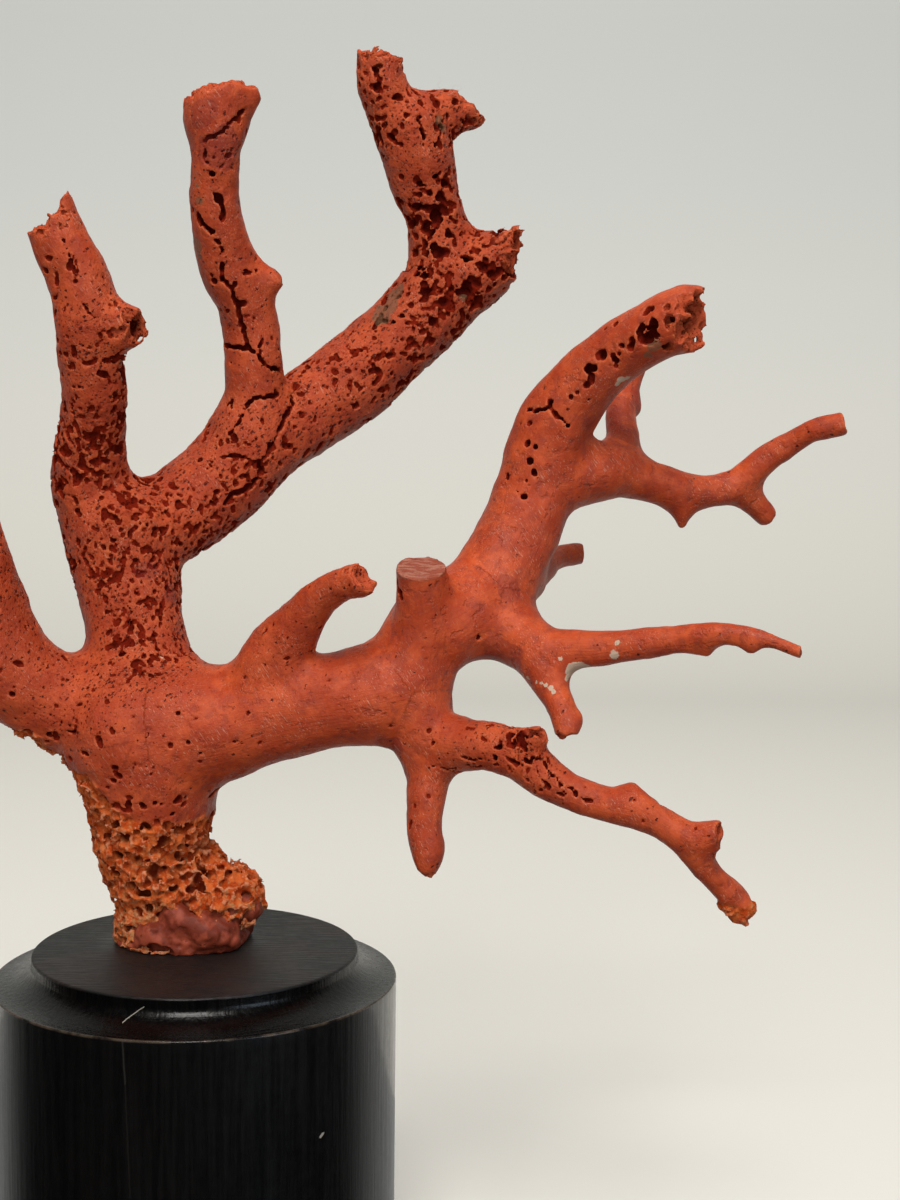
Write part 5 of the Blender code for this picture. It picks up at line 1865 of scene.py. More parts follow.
@dataclass
class Effects:
    """The groups that more than one finish uses."""

    patches: bpy.types.NodeTree = field(init=False)
    fibres: bpy.types.NodeTree = field(init=False)
    pores: bpy.types.NodeTree = field(init=False)
    deposit: bpy.types.NodeTree = field(init=False)

    def __post_init__(self) -> None:
        """Makes the groups."""
        self.patches = self._patches()
        self.fibres = self._fibres()
        self.pores = self._pores()
        self.deposit = self._deposit()

    @staticmethod
    def _patches() -> bpy.types.NodeTree:
        """Soft-edged patches: Size is their spacing and Spread how much of the surface they take."""
        group, graph, taken, given = new_group(
            "soft_patches",
            {"Vector": ("Vector", ORIGIN), "Size": ("Float", 5.0), "Spread": ("Float", 0.5)},
            {"Mask": "Float"},
        )
        scale = graph.math("DIVIDE", 1.0, taken["Size"])
        inputs = {"Vector": taken["Vector"], "Scale": scale, "Detail": 3.0, "Roughness": 0.62}
        noise = graph.node("TexNoise", inputs).outputs["Fac"]
        centre = graph.math("MULTIPLY_ADD", taken["Spread"], -0.4, 0.7)
        graph.feed(given["Mask"], graph.span(graph.math("SUBTRACT", noise, centre), -0.1, 0.1))
        return group

    @staticmethod
    def _fibres() -> bpy.types.NodeTree:
        """Fine lines along the vector's third axis, Width apart and about Length long."""
        group, graph, taken, given = new_group(
            "long_fibres",
            {"Vector": ("Vector", ORIGIN), "Width": ("Float", 0.5), "Length": ("Float", 8.0)},
            {"Lines": "Float"},
        )
        wide = graph.math("DIVIDE", 1.0, taken["Width"])
        long = graph.math("DIVIDE", 1.0, taken["Length"])
        factors = graph.node("CombineXYZ", {0: wide, 1: wide, 2: long}).outputs[0]
        lines = graph.noise(graph.scaled(taken["Vector"], factors), 1.0, 4.0, 0.6)
        graph.feed(given["Lines"], graph.span(lines, 0.3, 0.7))
        return group

    @staticmethod
    def _pores() -> bpy.types.NodeTree:
        """Small round pits, Spacing apart: the mask is 1 in a pit, and Share of the cells have one."""
        group, graph, taken, given = new_group(
            "small_pores",
            {"Vector": ("Vector", ORIGIN), "Spacing": ("Float", 1.5), "Share": ("Float", 0.5)},
            {"Mask": "Float"},
        )
        scale = graph.math("DIVIDE", 1.0, taken["Spacing"])
        shaken = graph.noise(taken["Vector"], 0.5, 1.0)
        moved = graph.node("VectorMath", {0: taken["Vector"], 1: shaken}, operation="ADD").outputs[0]
        cells = graph.node("TexVoronoi", {"Vector": moved, "Scale": scale})
        chance = graph.node("SeparateXYZ", {0: cells.outputs["Color"]}).outputs
        size = graph.math("MULTIPLY_ADD", chance[1], 0.26, 0.11)
        pit = graph.span(graph.math("DIVIDE", cells.outputs["Distance"], size), 1.15, 0.7)
        there = graph.math("LESS_THAN", chance[0], taken["Share"])
        graph.feed(given["Mask"], graph.math("MULTIPLY", pit, there))
        return group

    @staticmethod
    def _deposit() -> bpy.types.NodeTree:
        """A second colour where Share is high, with a crumbled edge."""
        group, graph, taken, given = new_group(
            "crumbled_deposit",
            {
                "Base": ("Color", (0.5, 0.5, 0.5, 1.0)),
                "Over": ("Color", (0.5, 0.5, 0.5, 1.0)),
                "Share": ("Float", 0.0),
                "Vector": ("Vector", ORIGIN),
                "Size": ("Float", 0.6),
                "Cover": ("Float", 1.0),
            },
            {"Colour": "Color", "Mask": "Float"},
        )
        scale = graph.math("DIVIDE", 1.0, taken["Size"])
        inputs = {"Vector": taken["Vector"], "Scale": scale, "Detail": 3.0, "Roughness": 0.6}
        crumbs = graph.node("TexNoise", inputs).outputs["Fac"]
        edge = graph.math("MULTIPLY_ADD", graph.math("SUBTRACT", crumbs, 0.5), 1.6, taken["Share"])
        mask = graph.math("MULTIPLY", graph.span(edge, 0.35, 0.6), taken["Cover"])
        graph.feed(given["Mask"], mask)
        graph.feed(given["Colour"], graph.mix(mask, taken["Base"], taken["Over"]))
        return group


@dataclass(frozen=True)
class CoralFinish:
    """The colours and depths of the coral's finish; the marks themselves are stored on the mesh."""

    slot: Slot
    light: Colour = (0.530, 0.082, 0.022, 1.0)
    deep: Colour = (0.400, 0.048, 0.012, 1.0)
    purple: Colour = (0.230, 0.038, 0.026, 1.0)
    dark: Colour = (0.240, 0.024, 0.007, 1.0)
    # hollow and half_hollow: painted shade inside holes and pits
    hollow: Colour = (0.070, 0.004, 0.002, 1.0)
    half_hollow: Colour = (0.190, 0.013, 0.004, 1.0)
    # rim: random pale speckle, and a painted highlight on raised edges
    rim: Colour = (0.640, 0.160, 0.055, 1.0)
    broken: Colour = (0.640, 0.120, 0.050, 1.0)
    # painted highlight on the ridges of the sponge
    sponge_ridge_highlight: Colour = (0.780, 0.350, 0.200, 1.0)
    sponge_light: Colour = (0.700, 0.150, 0.036, 1.0)
    sponge_deep: Colour = (0.500, 0.064, 0.011, 1.0)
    sponge_pale: Colour = (0.500, 0.270, 0.120, 1.0)
    lime: Colour = (0.520, 0.450, 0.340, 1.0)
    grime: Colour = (0.120, 0.090, 0.050, 1.0)
    mauve: Colour = (0.150, 0.020, 0.020, 1.0)
    sawn: Colour = (0.400, 0.160, 0.110, 1.0)
    dust: Colour = (0.620, 0.300, 0.200, 1.0)
    pore_spacing: float = 1.05
    mottle: float = 6.5

    def build(self, effects: Effects) -> bpy.types.Material:
        """Builds the material.

        Args:
            effects: the shared groups.

        Returns:
            The material, named after its slot.
        """
        material = bpy.data.materials.new(self.slot.value)
        material.use_nodes = True
        graph = Graph(material.node_tree)
        shader = material.node_tree.nodes["Principled BSDF"]
        place = graph.millimetres()
        grain = graph.node("Attribute", attribute_name="grain").outputs["Vector"]
        holds = graph.value("grain_holds")
        bored, depth = graph.value("bored"), graph.value("depth")
        sponge, broken = graph.value("sponge"), graph.value("broken")
        speckle = graph.noise(place, 0.42, 3.0, 0.6)

        # The living skin: mottled reds, with fine lines that run along the branches.
        mottle = graph.use(effects.patches, {"Vector": place, "Size": self.mottle}).outputs[0]
        colour = graph.mix(mottle, self.light, self.deep)
        tint = graph.use(effects.patches, {"Vector": place, "Size": 3.1, "Spread": 0.35}).outputs[0]
        smooth = graph.math("SUBTRACT", 1.0, graph.math("MULTIPLY", bored, 0.8))
        colour = graph.mix(graph.math("MULTIPLY", graph.math("MULTIPLY", tint, 0.5), smooth), colour, self.purple)
        lines = graph.use(effects.fibres, {"Vector": grain, "Width": 0.55, "Length": 9.0}).outputs[0]
        fine = graph.use(effects.fibres, {"Vector": grain, "Width": 0.2, "Length": 4.0}).outputs[0]
        line_share = graph.math("MULTIPLY", graph.math("MULTIPLY", lines, 0.34), holds)
        colour = graph.mix(line_share, colour, self.deep)
        fine_share = graph.math("MULTIPLY", graph.math("MULTIPLY", fine, 0.22), holds)
        colour = graph.mix(fine_share, colour, self.purple)
        colour = graph.mix(graph.span(speckle, 0.55, 0.75, 0.0, 0.30), colour, self.rim)
        flecks = graph.noise(place, 0.75, 4.0, 0.75)
        dark_share = graph.math("MULTIPLY_ADD", bored, 0.5, 0.25)
        dark_share = graph.math("MULTIPLY", graph.span(flecks, 0.46, 0.34), dark_share)
        colour = graph.mix(dark_share, colour, self.dark)
        # Small dents: a purple tone, partly their own colour and partly painted shade, over hollows in the bump.
        dents = graph.use(effects.patches, {"Vector": place, "Size": 2.3, "Spread": 0.18}).outputs[0]
        dents = graph.math("MULTIPLY", dents, smooth)
        colour = graph.mix(graph.math("MULTIPLY", dents, 0.35), colour, self.purple)
        scuffed = graph.use(effects.patches, {"Vector": place, "Size": 9.0, "Spread": 0.5}).outputs[0]
        slanted = graph.node("VectorRotate", {"Vector": place, "Angle": 0.6}, rotation_type="Y_AXIS").outputs[0]
        strokes = graph.use(effects.fibres, {"Vector": slanted, "Width": 0.24, "Length": 2.4}).outputs[0]
        strokes = graph.math("MULTIPLY", graph.span(strokes, 0.80, 0.97), scuffed)
        colour = graph.mix(graph.math("MULTIPLY", strokes, 0.55), colour, self.dust)

        # Pits too small to be carved: thick among the bored places and thin elsewhere.
        pore_share = graph.math("MULTIPLY_ADD", graph.math("POWER", bored, 2.0), 0.88, 0.02)
        pore_share = graph.math("MULTIPLY", pore_share, graph.math("SUBTRACT", 1.0, sponge))
        inputs = {"Vector": place, "Spacing": self.pore_spacing, "Share": pore_share}
        pores = graph.use(effects.pores, inputs).outputs[0]
        inputs = {"Vector": place, "Spacing": 0.62, "Share": graph.math("MULTIPLY", pore_share, 0.7)}
        dots = graph.use(effects.pores, inputs).outputs[0]
        pits = graph.math("MAXIMUM", pores, graph.math("MULTIPLY", dots, 0.75))

        # The sponge of the foot.
        patchy = graph.use(effects.patches, {"Vector": place, "Size": 2.4}).outputs[0]
        foam = graph.mix(patchy, self.sponge_light, self.sponge_deep)
        low = graph.span(graph.node("SeparateXYZ", {0: place}).outputs[2], 80 + 17, 80 + 4)
        inputs = {"Vector": place, "Size": 1.3, "Spread": graph.math("MULTIPLY_ADD", low, 0.32, 0.16)}
        pale = graph.use(effects.patches, inputs).outputs[0]
        foam = graph.mix(graph.math("MULTIPLY", pale, 0.7), foam, self.sponge_pale)
        colour = graph.mix(sponge, colour, foam)

        # Fresh breaks; a painted highlight on raised edges, partly the paler rims of pits; painted shade inside holes
        # and pits, darker the deeper they go.
        torn = graph.mix(graph.span(flecks, 0.34, 0.48), self.half_hollow, self.broken)
        colour = graph.mix(graph.math("MULTIPLY", broken, 0.85), colour, torn)
        # Painted highlight: raised edges are lighter, partly the paler rims of pits; on the sponge its ridges are paler
        # still.
        edge = graph.span(graph.value("ridge"), 0.10, 0.45)
        colour = graph.mix(graph.math("MULTIPLY", edge, 0.5), colour, self.rim)
        colour = graph.mix(graph.math("MULTIPLY", graph.math("MULTIPLY", edge, sponge), 0.6), colour, self.sponge_ridge_highlight)
        # Painted shade: darker the deeper a point lies below the old skin; weaker on breaks, and in the sponge only in
        # the deepest hollows.
        uneven = graph.math("MULTIPLY_ADD", graph.math("SUBTRACT", speckle, 0.5), 0.4, depth)
        inner = graph.math("MULTIPLY_ADD", broken, -0.8, 1.0)
        cavity_shade = graph.math("MULTIPLY", graph.span(uneven, 0.16, 0.30), inner)
        skin_only = graph.math("MULTIPLY", cavity_shade, graph.math("SUBTRACT", 1.0, sponge))
        colour = graph.mix(skin_only, colour, self.half_hollow)
        sunk = graph.math("MULTIPLY_ADD", sponge, -1.1, uneven)
        deepest_shade = graph.math("MULTIPLY", graph.span(sunk, 0.4, 1.6), inner)
        colour = graph.mix(graph.math("MULTIPLY", deepest_shade, 0.85), colour, self.hollow)
        # The small pits get the same painted shade.
        colour = graph.mix(graph.math("MULTIPLY", pits, 0.9), colour, self.hollow)
        sawn = graph.value("sawn")
        turned = graph.node("VectorRotate", {"Vector": place, "Angle": 1.35}, rotation_type="Y_AXIS").outputs[0]
        rays = graph.use(effects.fibres, {"Vector": turned, "Width": 0.9, "Length": 4.5}).outputs[0]
        cut = graph.mix(graph.span(rays, 0.25, 0.75, 0.4, 1.0), self.dark, self.sawn)
        colour = graph.mix(graph.math("MULTIPLY", sawn, 0.9), colour, cut)

        # Deposits.
        for key, over, size, cover in (
            ("mauve", self.mauve, 4.5, 0.38),
            ("grime", self.grime, 0.55, 0.6),
            ("lime", self.lime, 0.7, 0.8),
        ):
            inputs = {"Base": colour, "Over": over, "Share": graph.value(key), "Vector": place}
            made = graph.use(effects.deposit, {**inputs, "Size": size, "Cover": cover})
            colour = made.outputs["Colour"]
        graph.feed(shader.inputs["Base Color"], colour)

        dull = graph.math("MAXIMUM", graph.math("MAXIMUM", sponge, broken), cavity_shade)
        dull = graph.math("MAXIMUM", dull, graph.math("MAXIMUM", made.outputs["Mask"], sawn))
        gloss = graph.math("MULTIPLY_ADD", speckle, 0.25, 0.30)
        graph.feed(shader.inputs["Specular IOR Level"], graph.math("MULTIPLY_ADD", dull, -0.16, 0.19))
        roughness = graph.math("MAXIMUM", gloss, graph.math("MULTIPLY", dull, 0.85))
        graph.feed(shader.inputs["Roughness"], roughness)

        relief = graph.math("MULTIPLY", graph.math("MULTIPLY", lines, 0.05), holds)
        relief = graph.math("MULTIPLY_ADD", graph.math("MULTIPLY", fine, holds), 0.018, relief)
        relief = graph.math("MULTIPLY_ADD", speckle, 0.045, relief)
        leather = graph.math("MULTIPLY", flecks, graph.math("MULTIPLY_ADD", bored, 0.26, 0.10))
        relief = graph.math("ADD", relief, leather)
        relief = graph.math("MULTIPLY_ADD", pits, -0.25, relief)
        relief = graph.math("MULTIPLY_ADD", dents, -0.20, relief)
        relief = graph.math("MULTIPLY_ADD", graph.math("MULTIPLY", rays, sawn), 0.35, relief)
        crumbs = graph.noise(place, 0.6, 4.0, 0.7)
        rough = graph.math("MAXIMUM", sponge, graph.math("MULTIPLY", broken, 0.4))
        relief = graph.math("MULTIPLY_ADD", graph.math("MULTIPLY", crumbs, rough), 0.60, relief)
        inputs = {"Height": relief, "Distance": 0.001, "Strength": 1.0}
        graph.feed(shader.inputs["Normal"], graph.node("Bump", inputs).outputs[0])
        return material


@dataclass(frozen=True)
class WaxFinish:
    """The smooth red filling round the foot."""

    slot: Slot = Slot.WAX
    light: Colour = (0.330, 0.062, 0.030, 1.0)
    # deep: the darker patches, and the painted shade in creases and pits
    deep: Colour = (0.170, 0.026, 0.011, 1.0)
    dust: Colour = (0.400, 0.240, 0.160, 1.0)

    def build(self, effects: Effects) -> bpy.types.Material:
        """Builds the material from the shared groups."""
        material = bpy.data.materials.new(self.slot.value)
        material.use_nodes = True
        graph = Graph(material.node_tree)
        shader = material.node_tree.nodes["Principled BSDF"]
        place = graph.millimetres()
        patch = graph.use(effects.patches, {"Vector": place, "Size": 4.0}).outputs[0]
        colour = graph.mix(patch, self.light, self.deep)
        # Painted shade: darker in the hollow creases between folds.
        crease_shade = graph.span(graph.value("ridge"), -0.05, -0.3)
        colour = graph.mix(graph.math("MULTIPLY", crease_shade, 0.6), colour, self.deep)
        speckle = graph.noise(place, 0.3, 3.0, 0.6)
        crumbs = graph.math("MULTIPLY", graph.span(speckle, 0.62, 0.8), 0.45)
        colour = graph.mix(crumbs, colour, self.dust)
        pits = graph.use(effects.pores, {"Vector": place, "Spacing": 1.1, "Share": 0.2}).outputs[0]
        # Painted shade in the small pits.
        colour = graph.mix(graph.math("MULTIPLY", pits, 0.6), colour, self.deep)
        graph.feed(shader.inputs["Base Color"], colour)
        shader.inputs["Specular IOR Level"].default_value = 0.22
        graph.feed(shader.inputs["Roughness"], graph.math("MULTIPLY_ADD", speckle, 0.3, 0.40))
        relief = graph.math("MULTIPLY_ADD", graph.noise(place, 1.1, 3.0), 0.05, graph.math("MULTIPLY", pits, -0.12))
        inputs = {"Height": relief, "Distance": 0.001, "Strength": 1.0}
        graph.feed(shader.inputs["Normal"], graph.node("Bump", inputs).outputs[0])
        return material


@dataclass(frozen=True)
class Scar:
    """A light line on the plinth: where it starts, its run, its half width and how pale it is."""

    start: Point
    run: Point
    width: float
    pale: float


@dataclass(frozen=True)
class WoodFinish:
    """The black-stained turned wood, worn along its rim."""

    slot: Slot = Slot.WOOD
    stain: Colour = (0.0008, 0.0008, 0.0009, 1.0)
    streak: Colour = (0.0028, 0.0023, 0.0020, 1.0)
    brown: Colour = (0.0130, 0.0058, 0.0036, 1.0)
    worn: Colour = (0.2100, 0.1500, 0.1050, 1.0)
    chalk: Colour = (0.4200, 0.3900, 0.3400, 1.0)
    # painted contact shadow round the foot of the wax
    wax_contact_shadow: Colour = (0.0060, 0.0042, 0.0036, 1.0)
    scars: tuple[Scar, ...] = (
        Scar((-5.6, 0.0, 78.3), (-4.1, 0.0, -2.8), 0.09, 0.6),
        Scar((-8.6, 0.0, 73.8), (0.5, 0.0, -8.8), 0.20, 0.035),
        Scar((-8.1, 0.0, 65.1), (0.9, 0.0, -23.8), 0.16, 0.012),
        Scar((30.6, 0.0, 49.9), (0.5, 0.0, 0.6), 0.28, 0.75),
    )

    def _scars(self, graph: Graph, place: Socket) -> Socket:
        """How pale the scars make the surface.

        A point's nearest place on a scar is its start plus its run times the point's part along
        it, held between 0 and 1; the scar is where the distance from there is under its width.
        """
        group, inner, taken, given = new_group(
            "line_scar",
            {
                "Vector": ("Vector", ORIGIN), "Start": ("Vector", ORIGIN), "Run": ("Vector", ORIGIN),
                "Width": ("Float", 0.1),
            },
            {"Mask": "Float"},
        )
        way = inner.node("VectorMath", {0: taken["Vector"], 1: taken["Start"]}, operation="SUBTRACT")
        part = inner.node("VectorMath", {0: way.outputs[0], 1: taken["Run"]}, operation="DOT_PRODUCT")
        whole = inner.node("VectorMath", {0: taken["Run"], 1: taken["Run"]}, operation="DOT_PRODUCT")
        share = inner.node("Math", {0: part.outputs["Value"], 1: whole.outputs["Value"]}, operation="DIVIDE")
        share.use_clamp = True
        inputs = {0: taken["Run"], "Scale": share.outputs[0]}
        foot = inner.node("VectorMath", inputs, operation="SCALE")
        inputs = {0: way.outputs[0], 1: foot.outputs[0]}
        gap = inner.node("VectorMath", inputs, operation="DISTANCE").outputs["Value"]
        inner.feed(given["Mask"], inner.span(inner.math("DIVIDE", gap, taken["Width"]), 1.3, 0.5))
        total = None
        shaken = graph.noise(place, 1.2, 2.0)
        offset = graph.node("VectorMath", {0: shaken, "Scale": 0.35}, operation="SCALE").outputs[0]
        moved = graph.node("VectorMath", {0: place, 1: offset}, operation="ADD").outputs[0]
        front = graph.span(graph.node("SeparateXYZ", {0: place}).outputs[1], -20.0, -25.0)
        moved = graph.scaled(moved, (1.0, 0.0, 1.0))
        for scar in self.scars:
            inputs = {"Vector": moved, "Start": scar.start, "Run": scar.run, "Width": scar.width}
            mask = graph.math("MULTIPLY", graph.use(group, inputs).outputs[0], scar.pale)
            total = mask if total is None else graph.math("MAXIMUM", total, mask)
        return graph.math("MULTIPLY", total, front)

    def build(self, effects: Effects) -> bpy.types.Material:
        """Builds the material from the shared groups."""
        material = bpy.data.materials.new(self.slot.value)
        material.use_nodes = True
        graph = Graph(material.node_tree)
        shader = material.node_tree.nodes["Principled BSDF"]
        place = graph.millimetres()
        parts = graph.node("SeparateXYZ", {0: place}).outputs
        flat = graph.node("CombineXYZ", {0: parts[0], 1: parts[1]}).outputs[0]
        radius = graph.node("VectorMath", {0: flat}, operation="LENGTH").outputs["Value"]
        on_top = graph.span(parts[2], 79.3, 79.9)

        grain = graph.use(effects.fibres, {"Vector": place, "Width": 1.1, "Length": 26.0}).outputs[0]
        figure = graph.use(effects.fibres, {"Vector": place, "Width": 5.0, "Length": 60.0}).outputs[0]
        turned = graph.node("CombineXYZ", {0: parts[1], 1: parts[2], 2: parts[0]}).outputs[0]
        across = graph.use(effects.fibres, {"Vector": turned, "Width": 0.8, "Length": 9.0}).outputs[0]
        streaks = graph.node("Mix", {0: on_top, 2: grain, 3: across}).outputs[0]
        colour = graph.mix(graph.math("MULTIPLY", streaks, 0.5), self.stain, self.streak)
        colour = graph.mix(graph.math("MULTIPLY", figure, 0.35), colour, self.streak)
        patch = graph.use(effects.patches, {"Vector": place, "Size": 14.0}).outputs[0]
        brown = graph.math("MULTIPLY", patch, graph.math("MULTIPLY_ADD", on_top, 0.75, 0.05))
        colour = graph.mix(brown, colour, self.brown)

        # Painted contact shadow: a dark ring on the top round the wax; and pale wear along the rim.
        offset = {0: place, 1: (4.5, -6.5, -80.0)}
        from_wax = graph.node("VectorMath", offset, operation="ADD").outputs[0]
        squashed = graph.scaled(from_wax, (1 / 17.6, 1 / 14.0, 1 / 9.0))
        wide = graph.node("VectorMath", {0: squashed}, operation="LENGTH").outputs["Value"]
        wavy = graph.math("MULTIPLY_ADD", graph.noise(place, 5.0, 3.0), 0.3, wide)
        ring = graph.math("MULTIPLY", graph.span(wavy, 1.3, 1.12), on_top)
        colour = graph.mix(graph.math("MULTIPLY", ring, 0.85), colour, self.wax_contact_shadow)
        height = graph.math("ABSOLUTE", graph.math("SUBTRACT", parts[2], 73.85))
        rim = graph.math("MULTIPLY", graph.span(height, 0.42, 0.12), graph.span(radius, 44.3, 44.8))
        rubbed = graph.use(effects.patches, {"Vector": place, "Size": 7.0, "Spread": 0.55}).outputs[0]
        rim = graph.math("MULTIPLY", rim, graph.math("MULTIPLY_ADD", rubbed, 0.24, 0.02))
        colour = graph.mix(rim, colour, self.worn)
        colour = graph.mix(self._scars(graph, place), colour, self.chalk)
        graph.feed(shader.inputs["Base Color"], colour)

        mottled = graph.noise(place, 2.2, 4.0, 0.7)
        body = graph.span(parts[2], 74.0, 73.5)
        cove = graph.math("SUBTRACT", 1.0, graph.math("MAXIMUM", body, on_top))
        graph.feed(shader.inputs["Specular IOR Level"], graph.math("MULTIPLY_ADD", cove, -0.22, 0.5))
        graph.feed(shader.inputs["Coat Weight"], graph.math("MULTIPLY", body, 0.6))
        shader.inputs["Coat Roughness"].default_value = 0.12
        gloss = graph.math("MULTIPLY_ADD", mottled, 0.20, 0.20)
        gloss = graph.math("MULTIPLY_ADD", streaks, 0.10, gloss)
        gloss = graph.math("MULTIPLY_ADD", on_top, 0.22, gloss)
        gloss = graph.math("MULTIPLY_ADD", cove, -0.09, gloss)
        # the painted shadow ring round the wax is also a little glossier
        graph.feed(shader.inputs["Roughness"], graph.math("MULTIPLY_ADD", ring, -0.08, gloss))

        # The grain, and the fine rings that the turning tool left.
        rings = graph.node("CombineXYZ", {0: graph.math("MULTIPLY", radius, 2.4)}).outputs[0]
        lathe = graph.noise(rings, 1.0, 3.0, 0.7)
        above = graph.span(parts[2], 73.6, 74.2)
        relief = graph.math("MULTIPLY", graph.math("MULTIPLY", lathe, 0.05), above)
        relief = graph.math("MULTIPLY_ADD", streaks, graph.math("MULTIPLY_ADD", on_top, 0.08, 0.025), relief)
        relief = graph.math("MULTIPLY_ADD", graph.noise(place, 0.5, 2.0), 0.02, relief)
        inputs = {"Height": relief, "Distance": 0.001, "Strength": 1.0}
        graph.feed(shader.inputs["Normal"], graph.node("Bump", inputs).outputs[0])
        return material


def plain_finish(name: str, colour: Colour, roughness: float, speck: float) -> bpy.types.Material:
    """A dull finish with a faint mottle.

    Args:
        name: the material's name.
        colour: its base colour.
        roughness: how dull it is.
        speck: the size of the mottle, in millimetres.

    Returns:
        The material.
    """
    material = bpy.data.materials.new(name)
    material.use_nodes = True
    graph = Graph(material.node_tree)
    shader = material.node_tree.nodes["Principled BSDF"]
    cloud = graph.span(graph.noise(graph.millimetres(), speck, 3.0), 0.3, 0.7, 0.93, 1.0)
    graph.feed(shader.inputs["Base Color"], graph.mix(1.0, colour, cloud, "MULTIPLY"))
    shader.inputs["Roughness"].default_value = roughness
    return material


# ---- studio -----------------------------------------------------------------------------------


@dataclass(frozen=True)
class Lamp:
    """A soft square lamp: where it stands, its size in metres, its power and its colour.

    It shows in glossy surfaces if mirrored, and lights dull ones if matt.
    """

    name: str
    place: Point
    size: float
    power: float
    colour: Point
    mirrored: bool = True
    matt: bool = True


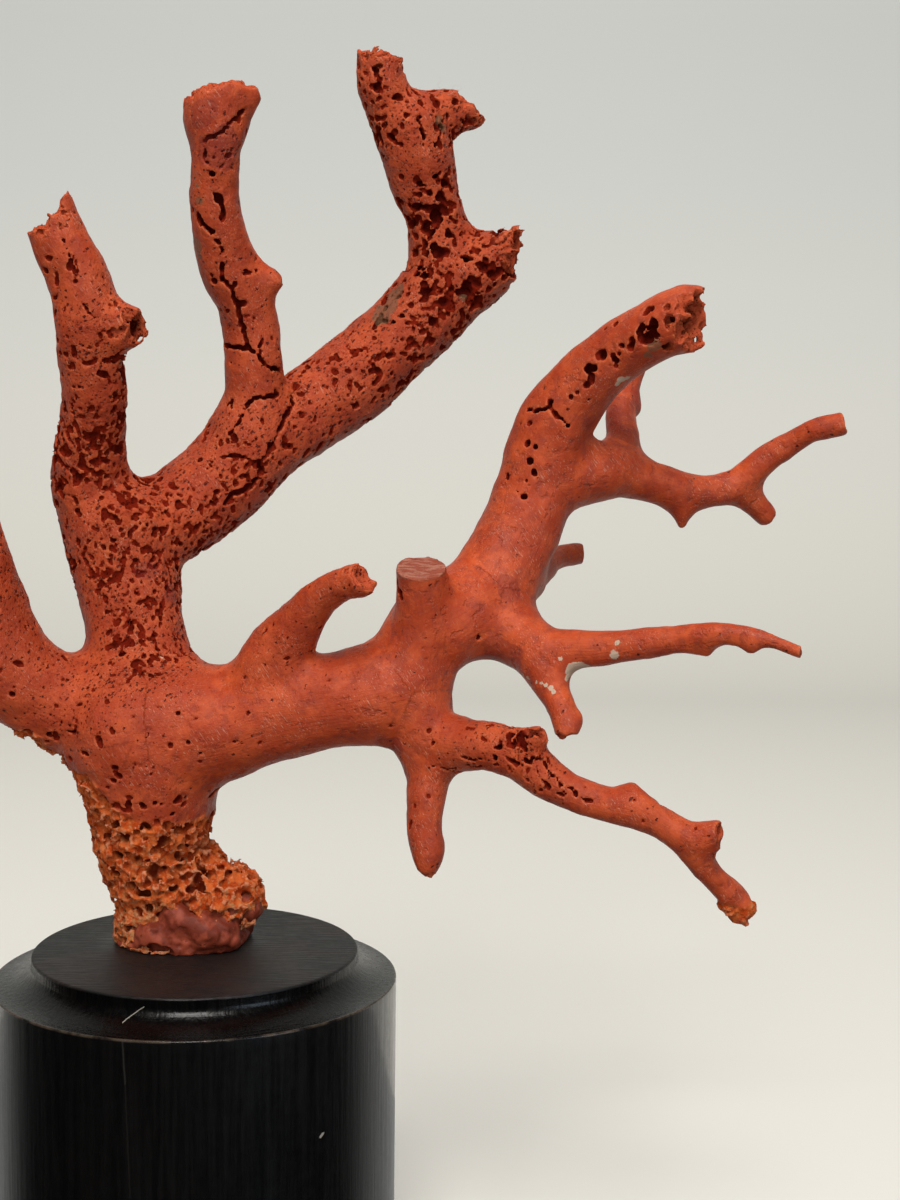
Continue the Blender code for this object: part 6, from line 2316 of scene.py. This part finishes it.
@dataclass
class Studio:
    """The backdrop, lamps and camera. Metres."""

    target: Point = (0.03, 0.0, 0.17)
    lamps: tuple[Lamp, ...] = (
        Lamp("key", (0.04, -0.66, 0.94), 0.40, 8.0, (1.0, 0.965, 0.92)),
        Lamp("window", (1.25, -1.10, 0.50), 0.7, 5.0, (0.72, 0.86, 1.0), True, False),
        Lamp("backdrop_wash", (0.0, 0.35, 1.5), 1.1, 11.2, (1.0, 0.98, 0.95), False),
    )
    wall: Colour = (0.665, 0.682, 0.655, 1.0)
    # painted light: the lighter, warmer paper towards the foot of the wall
    wall_foot_light: Colour = (0.815, 0.800, 0.735, 1.0)
    floor: Colour = (0.790, 0.775, 0.720, 1.0)
    eye: Point = (0.0562, -0.4013, 0.199)
    pitch: float = 5.64
    roll: float = 0.65
    lens: float = 54.78

    def _sweep(self) -> None:
        """A seamless floor and wall: a level run, a quarter circle and an upright run, drawn wide.

        They meet behind the plinth. Mirrors don't see the floor, and neither lights the coral.
        """
        turn = np.linspace(0, math.pi / 2, 24)
        bend, join = 0.6, 0.12
        ahead = np.concatenate([[join], 0.9 + bend * np.sin(turn), [0.9 + bend]])
        up = np.concatenate([[0.0], bend * (1 - np.cos(turn)), [3.2]])
        runs = {"pale_wall": (ahead, up), "pale_floor": (np.array([-3.0, join]), np.zeros(2))}
        paper = self._paper()
        sides = np.array([-3.5, 3.5])
        for name, (along, height) in runs.items():
            grid = np.stack(
                [sides[:, None] + 0 * along, along + 0 * sides[:, None], height + 0 * sides[:, None]],
                axis=-1,
            ).reshape(-1, 3)
            grid[:, 2] -= 0.0005
            row = np.arange(len(along) - 1)
            quads = np.stack([row, row + len(along), row + len(along) + 1, row + 1], axis=1)
            obj = mesh_object(name, grid, quads.reshape(-1), np.full(len(quads), 4))
            obj.data.materials.append(paper)
            obj.visible_diffuse = False
            obj.visible_glossy = name == "pale_wall"

    def _paper(self) -> bpy.types.Material:
        """Matt paper with painted light: darker and cooler up the wall, lighter and warmer towards its foot and over
        the floor.
        """
        material = plain_finish("pale_paper", self.wall, 0.95, 260.0)
        graph = Graph(material.node_tree)
        shader = material.node_tree.nodes["Principled BSDF"]
        place = graph.node("SeparateXYZ", {0: graph.node("TexCoord").outputs["Object"]}).outputs
        # Painted light: lighter and warmer towards the foot of the wall and on the floor.
        low = graph.mix(graph.span(place[2], 0.50, 0.0), self.wall, self.wall_foot_light)
        colour = graph.mix(graph.span(place[1], 1.1, 0.1), low, self.floor)
        graph.feed(shader.inputs["Base Color"], colour)
        return material

    def _lamp(self, lamp: Lamp) -> None:
        """Hangs one lamp so that it looks at the target."""
        data = bpy.data.lights.new(lamp.name, "AREA")
        data.energy, data.size, data.color = lamp.power, lamp.size, lamp.colour
        obj = bpy.data.objects.new(lamp.name, data)
        bpy.context.scene.collection.objects.link(obj)
        way = Vector(self.target) - Vector(lamp.place)
        obj.matrix_world = Matrix.Translation(lamp.place) @ way.to_track_quat("-Z", "Y").to_matrix().to_4x4()
        obj.visible_glossy, obj.visible_diffuse = lamp.mirrored, lamp.matt

    def _world(self) -> None:
        """A pale surround to the eye, a soft front light to dull surfaces and a dark room to mirrors."""
        world = bpy.data.worlds.new("surround")
        bpy.context.scene.world = world
        world.use_nodes = True
        graph = Graph(world.node_tree)
        world.node_tree.nodes.clear()
        path = graph.node("LightPath").outputs
        way = graph.node("TexCoord").outputs["Generated"]
        towards = graph.node("VectorMath", {0: way, 1: (0.02, -0.98, 0.20)}, operation="DOT_PRODUCT")
        glow = graph.span(towards.outputs["Value"], -0.2, 1.0)
        colour = graph.mix(glow, (0.04, 0.04, 0.042, 1.0), (0.80, 0.79, 0.77, 1.0))
        behind = graph.span(graph.node("SeparateXYZ", {0: way}).outputs[1], 0.12, 0.62)
        room = graph.mix(behind, (0.006, 0.006, 0.007, 1.0), (0.36, 0.36, 0.35, 1.0))
        colour = graph.mix(path["Is Glossy Ray"], colour, room)
        colour = graph.mix(path["Is Camera Ray"], colour, (0.60, 0.61, 0.58, 1.0))
        surround = graph.node("Background", {"Color": colour, "Strength": 1.0})
        graph.node("OutputWorld", {"Surface": surround.outputs[0]})

    def _camera(self) -> None:
        """Sets the camera up at the eye."""
        data = bpy.data.cameras.new("camera")
        data.lens, data.sensor_width, data.sensor_fit = self.lens, 36.0, "AUTO"
        data.clip_start = 0.01
        obj = bpy.data.objects.new("camera", data)
        bpy.context.scene.collection.objects.link(obj)
        obj.matrix_world = (
            Matrix.Translation(self.eye)
            @ Matrix.Rotation(math.radians(90 - self.pitch), 4, "X")
            @ Matrix.Rotation(math.radians(self.roll), 4, "Z")
        )
        bpy.context.scene.camera = obj

    def build(self) -> None:
        """Puts everything up."""
        self._sweep()
        for lamp in self.lamps:
            self._lamp(lamp)
        self._world()
        self._camera()
        bpy.context.scene.view_settings.view_transform = "Standard"
        LOG.info("studio: %d lamps", len(self.lamps))


def write_sizes() -> None:
    """Brings the view layer up to date."""
    bpy.context.view_layer.update()


def main() -> None:
    """Builds the object and its studio."""
    logging.basicConfig(level=logging.INFO, format="%(name)s: %(message)s")
    effects = Effects()
    finishes = {
        slot.value: CoralFinish(slot).build(effects) for slot in (Slot.SPONGE, Slot.PITTED, Slot.SKIN)
    }
    for obj in Coral().build():
        obj.data.materials.append(finishes[obj["piece_slot"]])
    Plinth().build().data.materials.append(WoodFinish().build(effects))
    WaxBead().build().data.materials.append(WaxFinish().build(effects))
    lint = plain_finish("lint", (0.50, 0.49, 0.47, 1.0), 0.9, 1.0)
    Lint().build().data.materials.append(lint)
    Studio().build()
    write_sizes()


if __name__ == "__main__":
    main()
